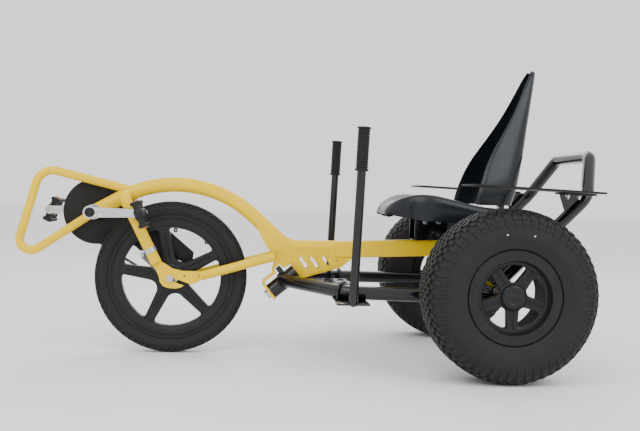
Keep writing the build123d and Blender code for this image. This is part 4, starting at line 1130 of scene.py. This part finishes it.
class KART_OT_seat(bpy.types.Operator):
    """Models the seat pan and the high back as smooth moulded shells"""

    bl_idname = "kart.seat"
    bl_label = "Seat"

    def execute(self, context):
        wall = context.scene.kart_sizes.seat_wall
        half_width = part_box("seat_pan")[1].y / MM
        rows = []
        pan = (
            (-262, 424, 0.40, 422, 1),
            (-285, 427, 0.42, 424, 1),
            (-292, 436, 0.46, 428, 2),
            (-285, 449, 0.55, 429, 4),
            (-266, 470, 0.70, 428, 12),
            (-236, 486, 0.86, 423, 22),
            (-205, 493, 0.95, 415, 31),
            (-172, 494, 1.0, 413, 36),
            (-138, 489, 1.0, 412, 38),
            (-100, 480, 1.0, 411, 36),
            (-60, 470, 1.0, 412, 32),
            (-20, 461, 0.98, 414, 28),
            (25, 457, 0.94, 418, 24),
            (67, 456, 0.88, 425, 22),
        )
        for x, crown, share, skirt, dip in pan:
            half = half_width * share - 1
            side = [
                (half, skirt),
                (half, skirt + (crown - skirt) * 0.42),
                (half - 5, crown - (crown - skirt) * 0.12),
                (half - 20, crown + 0.5),
                (half - 42, crown - dip * 0.35),
                (half * 0.5, crown - dip * 0.95),
                (half * 0.22, crown - dip),
            ]
            line = [(-y, z) for y, z in side] + [(0, crown - dip)]
            line += [(y, z) for y, z in reversed(side)]
            rows.append([Vector((REAR_X + x * MM, y * MM, z * MM)) for y, z in line])
        seat = sheet_of_rows("pan", rows)
        facing(seat, lambda polygon: polygon.normal.z * polygon.area)
        seat = shell_from(seat, wall)
        seat.name = "seat_pan_shell"
        hand_over(seat, "front_frame", MATERIALS["seat"], "seat_shell", "seat_pan")

        back = (
            (464, 90, -33, 140),
            (482, 95, -31, 141),
            (510, 104, -24, 139),
            (540, 111, -14, 133),
            (575, 119, -2, 122),
            (610, 127, 15, 109),
            (642, 134, 35, 96),
            (675, 140, 56, 84),
            (708, 146, 76, 73),
            (742, 153, 95, 62),
            (777, 159, 112, 52),
            (812, 165, 128, 43),
            (842, 170, 141, 35),
            (862, 173, 150, 27),
            (874, 175, 157, 17),
        )
        rows = []
        for z, rear, front, half in back:
            depth = rear - front
            side = [
                (front + 3, half * 0.93),
                (front, half * 0.97),
                (front + depth * 0.1, half),
                (front + depth * 0.4, half * 0.99),
                (front + depth * 0.72, half * 0.93),
                (rear - 7, half * 0.8),
                (rear - 1, half * 0.56),
                (rear, half * 0.28),
            ]
            line = [(x, y) for x, y in side] + [(rear, 0)]
            line += [(x, -y) for x, y in reversed(side)]
            rows.append([Vector((REAR_X + x * MM, y * MM, z * MM)) for x, y in line])
        seat = sheet_of_rows("back", rows)
        facing(seat, rear_facing)
        count = len(rows[0])
        creased(
            seat,
            lambda edge: edge.verts[0].index % count == edge.verts[1].index % count
            and edge.verts[0].index % count in (2, 6, count - 7, count - 3),
            0.75,
        )
        seat = shell_from(seat, wall)
        slot = block("slot", (0.05, 0.03, 0.009), (REAR_X + 0.165, 0, 0.8), 0.004, 4)
        cut_with(seat, [slot])
        smooth(seat, 50)
        seat.name = "seat_back_shell"
        hand_over(seat, "front_frame", MATERIALS["seat"], "seat_shell", "seat_back")
        return {"FINISHED"}


# ---- Handles ----
class KART_OT_grips(bpy.types.Operator):
    """Models the ribbed rubber grips of the two steering levers"""

    bl_idname = "kart.grips"
    bl_label = "Grips"

    def execute(self, context):
        ribs = context.scene.kart_sizes.grip_ribs
        low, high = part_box("grips")
        lever_low, lever_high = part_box("levers")
        foot = Vector((lever_low.x + LEVER_R, 0, lever_low.z + LEVER_R))
        top = Vector((lever_high.x - LEVER_R, 0, lever_high.z))
        way = (top - foot).normalized()
        bottom = foot + way * ((low.z - foot.z) / way.z + 0.0008)
        length = (high.z - low.z) / way.z / MM - 1.6
        outline = [(0, 12.1), (0, 17.6), (2.5, 18.4), (5.5, 18.0), (6.5, 15.0)]
        first, last = 8.0, length - 8.0
        step = (last - first) / ribs
        for rib in range(ribs):
            start = first + rib * step
            outline += [
                (start + step * 0.12, 15.0),
                (start + step * 0.3, 16.6),
                (start + step * 0.7, 16.6),
                (start + step * 0.88, 15.0),
            ]
        outline += [
            (length - 6.5, 15.0),
            (length - 5.5, 17.6),
            (length - 2.5, 18.2),
            (length - 0.5, 16.6),
            (length, 13.0),
            (length, 0.5),
            (length - 3, 0.5),
            (length - 3, 12.1),
        ]
        centre_y = high.y - GRIP_R
        pieces = []
        for side in (-1, 1):
            points = [Vector((r * MM, 0, h * MM)) for h, r in outline]
            grip = closed_loop("grip", points)
            in_edit(grip)
            bpy.ops.mesh.spin(steps=40, angle=2 * pi, center=(0, 0, 0), axis=(0, 0, 1))
            out_of_edit()
            clean(grip)
            stand = way.to_track_quat("Z", "Y").to_matrix().to_4x4()
            grip.data.transform(
                Matrix.Translation(bottom + Vector((0, side * centre_y, 0))) @ stand
            )
            pieces.append(grip)
        grips = smooth(joined(pieces, "ribbed_grips"), 32)
        hand_over(grips, "rear_frame", MATERIALS["grip"], "grip_rubber", "grips")
        return {"FINISHED"}


# ---- Pedals ----
class KART_OT_pedals(bpy.types.Operator):
    """Models the cage pedals with ridged treads and end plates"""

    bl_idname = "kart.pedals"
    bl_label = "Pedals"

    def execute(self, context):
        for word, side, tilt in (("left", -1, -22), ("right", 1, 22)):
            centre = Vector(JOINTS[f"pedal_{word}_spin"]["pos_m"])
            parts = [
                block("core", (0.03, 0.091, 0.026), (0, 0, 0), 0.005, 3),
                block("front_bar", (0.011, 0.091, 0.025), (0.0325, 0, 0), 0.003, 3),
                block("rear_bar", (0.011, 0.091, 0.025), (-0.0325, 0, 0), 0.003, 3),
            ]
            for y in (-0.041, -0.0135, 0.0135, 0.041):
                parts.append(block("rib", (0.072, 0.007, 0.018), (0, y, 0), 0.0018))
            for x in (-0.0325, 0.0325):
                for y in range(-4, 5):
                    for z in (-1, 1):
                        place = (x, y * 0.0098, z * 0.0122)
                        parts.append(block("tooth", (0.009, 0.004, 0.003), place, 0.0008))
            body = joined(parts, "cage_pedal_" + word)
            body.data.transform(Matrix.Rotation(-pi / 2 + radians(tilt), 4, "Y"))
            body.data.transform(Matrix.Translation(centre))
            smooth(body, 40)
            node = "pedal_body_" + word
            hand_over(body, "pedal_" + word, MATERIALS["pedal"], "guard_plastic", node)
            cap = spun(
                "pedal_end_cap_" + word,
                [(40, 0.4), (46.5, 0.4), (47.2, 3), (47.2, 8), (46.2, 10.5), (40, 11)],
                centre,
                side,
                32,
            )
            hand_over(smooth(cap, 35), "pedal_" + word, MATERIALS["cap"], "guard_plastic")
        return {"FINISHED"}


# ---- Drive ----
def chain_loop():
    """Pitch points of the chain round both sprockets, in the side view from the crank."""
    pitch = CHAIN_PITCH * MM
    big = pitch / 2 / sin(pi / CHAINRING_TEETH)
    small = pitch / 2 / sin(pi / SPROCKET_TEETH)
    run = FRONT_AXLE - CRANK_AXLE
    centres = hypot(run.x, run.z)
    wrap = asin((big - small) / centres)
    straight = centres * cos(wrap)
    arc_small = small * (pi - 2 * wrap)
    arc_big = big * (pi + 2 * wrap)
    total = 2 * straight + arc_small + arc_big
    count = round(total / pitch)
    along = Vector((run.x, run.z)) / centres
    square = Vector((-along.y, along.x))
    points = []
    for link in range(count):
        s = link * total / count
        if s < straight:
            x = big * sin(wrap) + s * cos(wrap)
            y = big * cos(wrap) - s * sin(wrap)
        elif s < straight + arc_small:
            turn = pi / 2 - wrap - (s - straight) / small
            x, y = centres + small * cos(turn), small * sin(turn)
        elif s < 2 * straight + arc_small:
            t = s - straight - arc_small
            x = centres + small * sin(wrap) - t * cos(wrap)
            y = -small * cos(wrap) - t * sin(wrap)
        else:
            turn = -pi / 2 + wrap - (s - 2 * straight - arc_small) / big
            x, y = big * cos(turn), big * sin(turn)
        points.append(along * x + square * y)
    return points


def link_plate(length, height, waist, thick):
    """A waisted chain side plate lying along x."""
    outline = []
    for sign in (1, -1):
        for step in range(9):
            turn = pi / 2 - pi * step / 8
            reach = length / 2 + height * cos(turn)
            outline.append((sign * reach, sign * height * sin(turn)))
        outline.append((0, -sign * waist))
    edge = thick / 2 * MM
    return plate("plate", [(x * MM, z * MM) for x, z in outline], -edge, edge)


class KART_OT_chain(bpy.types.Operator):
    """Models the roller chain link by link"""

    bl_idname = "kart.chain"
    bl_label = "Chain"

    def execute(self, context):
        low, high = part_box("chain")
        middle = (low.y + high.y) / 2
        points = chain_loop()
        plate_shape = link_plate(CHAIN_PITCH, 4.1, 2.9, 1.0)
        deselect_all()
        bpy.ops.mesh.primitive_cylinder_add(vertices=14, radius=0.0019, depth=0.0064)
        pin = bpy.context.active_object
        pin.data.transform(Matrix.Rotation(pi / 2, 4, "X"))
        in_edit(pin)
        pick_faces(pin, lambda face: len(face.verts) > 4)
        bpy.ops.mesh.inset(thickness=0.0004)
        out_of_edit()
        pieces = []
        for index, point in enumerate(points):
            ahead = points[(index + 1) % len(points)]
            mid = (point + ahead) / 2
            turn = -atan2(ahead.y - point.y, ahead.x - point.x)
            spread = 0.0026 if index % 2 else 0.0016
            for side in (-1, 1):
                y = middle + side * spread
                place = Vector((CRANK_AXLE.x + mid.x, y, CRANK_AXLE.z + mid.y))
                matrix = Matrix.Translation(place) @ Matrix.Rotation(turn, 4, "Y")
                pieces.append(copy_of(plate_shape, matrix))
            place = Vector((CRANK_AXLE.x + point.x, middle, CRANK_AXLE.z + point.y))
            pieces.append(copy_of(pin, Matrix.Translation(place)))
        for spare in (plate_shape, pin):
            bpy.data.objects.remove(spare)
        chain = smooth(joined(pieces, "roller_chain"), 35)
        hand_over(chain, "front_frame", MATERIALS["steel"], "chain_steel", "chain")
        return {"FINISHED"}


# ---- Frame pieces with rounded edges ----
SOFT_EDGES = (
    ("crank_arms", "crank", "alloy", "crank_alloy", 2.2, 3),
    ("dropouts", "front_frame", "yellow", "frame_yellow", 0.7, 2),
    ("neck_plates", "front_frame", "yellow", "frame_yellow", 0.5, 2),
    ("pivot_plates", "front_frame", "yellow", "frame_yellow", 0.8, 2),
    ("mudguards", "rear_frame", "plate", "guard_plastic", 1.2, 2),
    ("mudguard_tabs", "rear_frame", "black", "frame_black", 0.7, 2),
    ("lever_brackets", "rear_frame", "black", "frame_black", 0.7, 2),
    ("pan_bracket", "front_frame", "black", "frame_black", 0.8, 2),
    ("back_bracket", "front_frame", "black", "frame_black", 0.8, 2),
    ("web_plate", "rear_frame", "black", "frame_black", 0.6, 2),
    ("mudguard_bolts", "rear_frame", "zinc", "zinc_steel", 0.5, 2),
    ("seat_bolts", "front_frame", "zinc", "zinc_steel", 0.5, 2),
    ("front_axle_nuts", "front_frame", "zinc", "zinc_steel", 0.5, 2),
    ("chain_guard", "front_frame", "plate", "guard_plastic", 0.4, 2),
)


class KART_OT_soft_edges(bpy.types.Operator):
    """Rounds over the sheet edges, castings and bolt heads of the frame"""

    bl_idname = "kart.soft_edges"
    bl_label = "Soft edges"

    def execute(self, context):
        for node, body, finish, slot, width, segments in SOFT_EDGES:
            piece = softened(node, node + "_soft", width, segments)
            if node == "crank_arms":
                low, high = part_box("crank_arms")
                grooves = []
                for side, face in ((1, low.y), (-1, high.y)):
                    place = (CRANK_AXLE.x + side * 0.074, face, CRANK_AXLE.z)
                    grooves.append(block("groove", (0.09, 0.0036, 0.0075), place, 0.0015, 3))
                smooth(cut_with(piece, grooves), 40)
            hand_over(piece, body, MATERIALS[finish], slot, node)
        return {"FINISHED"}


def weld_ring(name, centre, axis, radius, wire):
    """A rippled weld bead round a tube."""
    deselect_all()
    bpy.ops.mesh.primitive_torus_add(
        major_segments=96, minor_segments=8, major_radius=radius * MM, minor_radius=wire * MM
    )
    bead = bpy.context.active_object
    bead.name = name
    for vertex in bead.data.vertices:
        turn = atan2(vertex.co.y, vertex.co.x)
        ripple = 1 + 0.004 * sin(turn * 32)
        vertex.co.x *= ripple
        vertex.co.y *= ripple
    stand = Vector(axis).normalized().to_track_quat("Z", "Y").to_matrix().to_4x4()
    bead.data.transform(Matrix.Translation(centre) @ stand)
    return bead


class KART_OT_trim(bpy.types.Operator):
    """Adds the crank caps, the weld beads and the plug in the end of the seat beam"""

    bl_idname = "kart.trim"
    bl_label = "Trim"

    def execute(self, context):
        low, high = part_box("crank_spindle")
        caps = []
        for side, edge in ((-1, low.y), (1, high.y)):
            centre = Vector((CRANK_AXLE.x, edge, CRANK_AXLE.z))
            outline = [
                (-2.9, 12.6),
                (-2.9, 14.4),
                (-0.6, 14.0),
                (0.5, 12.4),
                (0.7, 9),
                (0.1, 8),
                (0.1, 0.5),
                (-0.5, 0.5),
                (-0.5, 12.6),
            ]
            caps.append(spun("cap", outline, centre, side, 48))
        dust_caps = smooth(joined(caps, "crank_dust_caps"), 35)
        hand_over(dust_caps, "crank", MATERIALS["cap"], "guard_plastic")
        beads = []
        for side in (-1, 1):
            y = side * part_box("bottom_bracket_shell")[1].y
            centre = Vector((CRANK_AXLE.x, y - side * 0.001, CRANK_AXLE.z))
            beads.append(weld_ring("bead", centre, (0, 1, 0), 20.5, 0.9))
        beads = smooth(joined(beads, "shell_end_beads"), 60)
        hand_over(beads, "front_frame", MATERIALS["yellow"], "frame_yellow")
        roll_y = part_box("roll_bar")[1].y - ROLL_TUBE_R
        beads = []
        for side in (-1, 1):
            way = Vector((1, 0, 1)).normalized()
            foot = Vector((REAR_X, side * roll_y, REAR_AXLE_LEFT.z)) + way * 0.0225
            beads.append(weld_ring("bead", foot, way, 18.2, 1.8))
        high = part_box("seat_beam")[1]
        plug = block("beam_end_plug", (0.005, 0.039, 0.049), (0, 0, 0), 0.0015)
        plug.data.transform(Matrix.Rotation(-0.043, 4, "Y"))
        plug.data.transform(Matrix.Translation((high.x + 0.001, 0, high.z - 0.025)))
        hand_over(smooth(plug, 40), "front_frame", MATERIALS["cap"], "guard_plastic")
        beads = smooth(joined(beads, "roll_bar_foot_beads"), 60)
        hand_over(beads, "rear_frame", MATERIALS["black"], "frame_black")
        return {"FINISHED"}


# ---- Stage ----
class KART_OT_stage(bpy.types.Operator):
    """Sets the floor, the lamps, the sky and the camera"""

    bl_idname = "kart.stage"
    bl_label = "Stage"

    def execute(self, context):
        scene = context.scene
        deselect_all()
        bpy.ops.mesh.primitive_grid_add(
            x_subdivisions=24, y_subdivisions=24, size=24, location=(0, 4, -0.0005)
        )
        floor = settle(bpy.context.active_object)
        floor.name = "studio_floor"
        floor.data.materials.append(floor_sheet("studio_paper"))

        world = bpy.data.worlds.new("studio_sky")
        world.use_nodes = True
        sky = world.node_tree.nodes["Background"]
        sky.inputs["Color"].default_value = (1.0, 1.0, 1.0, 1)
        sky.inputs["Strength"].default_value = 1.35
        scene.world = world

        power = scene.kart_sizes.lamp_power
        lamps = (
            ("key", (-1.2, -2.2, 2.8), (0, 0, 0.3), 2.4, power, (1.0, 1.0, 1.0)),
            ("fill", (1.8, -2.0, 2.2), (0.4, 0, 0.3), 1.6, power * 0.55, (0.93, 0.97, 1.0)),
            ("back", (0.6, 2.6, 2.4), (0.2, 0, 0.4), 2.0, power * 0.7, (0.95, 0.98, 1.0)),
        )
        for name, place, aim, size, strength, colour in lamps:
            deselect_all()
            bpy.ops.object.light_add(type="AREA", location=place)
            lamp = bpy.context.active_object
            lamp.name = name + "_lamp"
            lamp.data.shape = "SQUARE"
            lamp.data.size = size
            lamp.data.energy = strength
            lamp.data.color = colour
            way = Vector(aim) - Vector(place)
            lamp.rotation_euler = way.to_track_quat("-Z", "Y").to_euler()

        yaw, pitch, roll = radians(-5.0743), radians(1.6446), radians(1.6626)
        ahead = Vector((-sin(yaw), cos(yaw), 0))
        right = Vector((cos(yaw), sin(yaw), 0))
        up = Vector((0, 0, 1))
        look = ahead * cos(pitch) - up * sin(pitch)
        top = up * cos(pitch) + ahead * sin(pitch)
        right_rolled = right * cos(roll) + top * sin(roll)
        top_rolled = top * cos(roll) - right * sin(roll)
        deselect_all()
        bpy.ops.object.camera_add()
        camera = bpy.context.active_object
        camera.name = "camera"
        turn = Matrix((right_rolled, top_rolled, -look)).transposed().to_4x4()
        place = Vector((REAR_X - 0.6979, -2.5243, 0.4902))
        camera.matrix_world = Matrix.Translation(place) @ turn
        camera.data.sensor_width = 36
        camera.data.lens = 47.17
        scene.camera = camera
        return {"FINISHED"}


class KART_PT_panel(bpy.types.Panel):
    """Lists the kart's pieces in the sidebar"""

    bl_idname = "KART_PT_panel"
    bl_label = "Pedal Go Kart"
    bl_space_type = "VIEW_3D"
    bl_region_type = "UI"
    bl_category = "Kart"

    def draw(self, context):
        for group in (context.scene.kart_paint, context.scene.kart_sizes):
            for key in group.__annotations__:
                self.layout.prop(group, key)
        for operator in OPERATORS:
            self.layout.operator(operator.bl_idname)


OPERATORS = (
    KART_OT_materials,
    KART_OT_stage,
    KART_OT_soft_edges,
    KART_OT_rear_tyres,
    KART_OT_front_tyre,
    KART_OT_front_rim,
    KART_OT_rear_wheels,
    KART_OT_seat,
    KART_OT_grips,
    KART_OT_pedals,
    KART_OT_chain,
    KART_OT_trim,
)
CLASSES = (KartPaint, KartSizes, *OPERATORS, KART_PT_panel)


def register():
    for item in CLASSES:
        bpy.utils.register_class(item)
    bpy.types.Scene.kart_paint = bpy.props.PointerProperty(type=KartPaint)
    bpy.types.Scene.kart_sizes = bpy.props.PointerProperty(type=KartSizes)


def unregister():
    del bpy.types.Scene.kart_sizes
    del bpy.types.Scene.kart_paint
    for item in reversed(CLASSES):
        bpy.utils.unregister_class(item)


def main():
    register()
    bpy.ops.kart.materials()
    bpy.ops.kart.stage()
    bpy.ops.kart.soft_edges()
    bpy.ops.kart.rear_tyres()
    bpy.ops.kart.front_tyre()
    bpy.ops.kart.front_rim()
    bpy.ops.kart.rear_wheels()
    bpy.ops.kart.seat()
    bpy.ops.kart.grips()
    bpy.ops.kart.pedals()
    bpy.ops.kart.chain()
    bpy.ops.kart.trim()
    deselect_all()


if __name__ == "__main__":
    main()
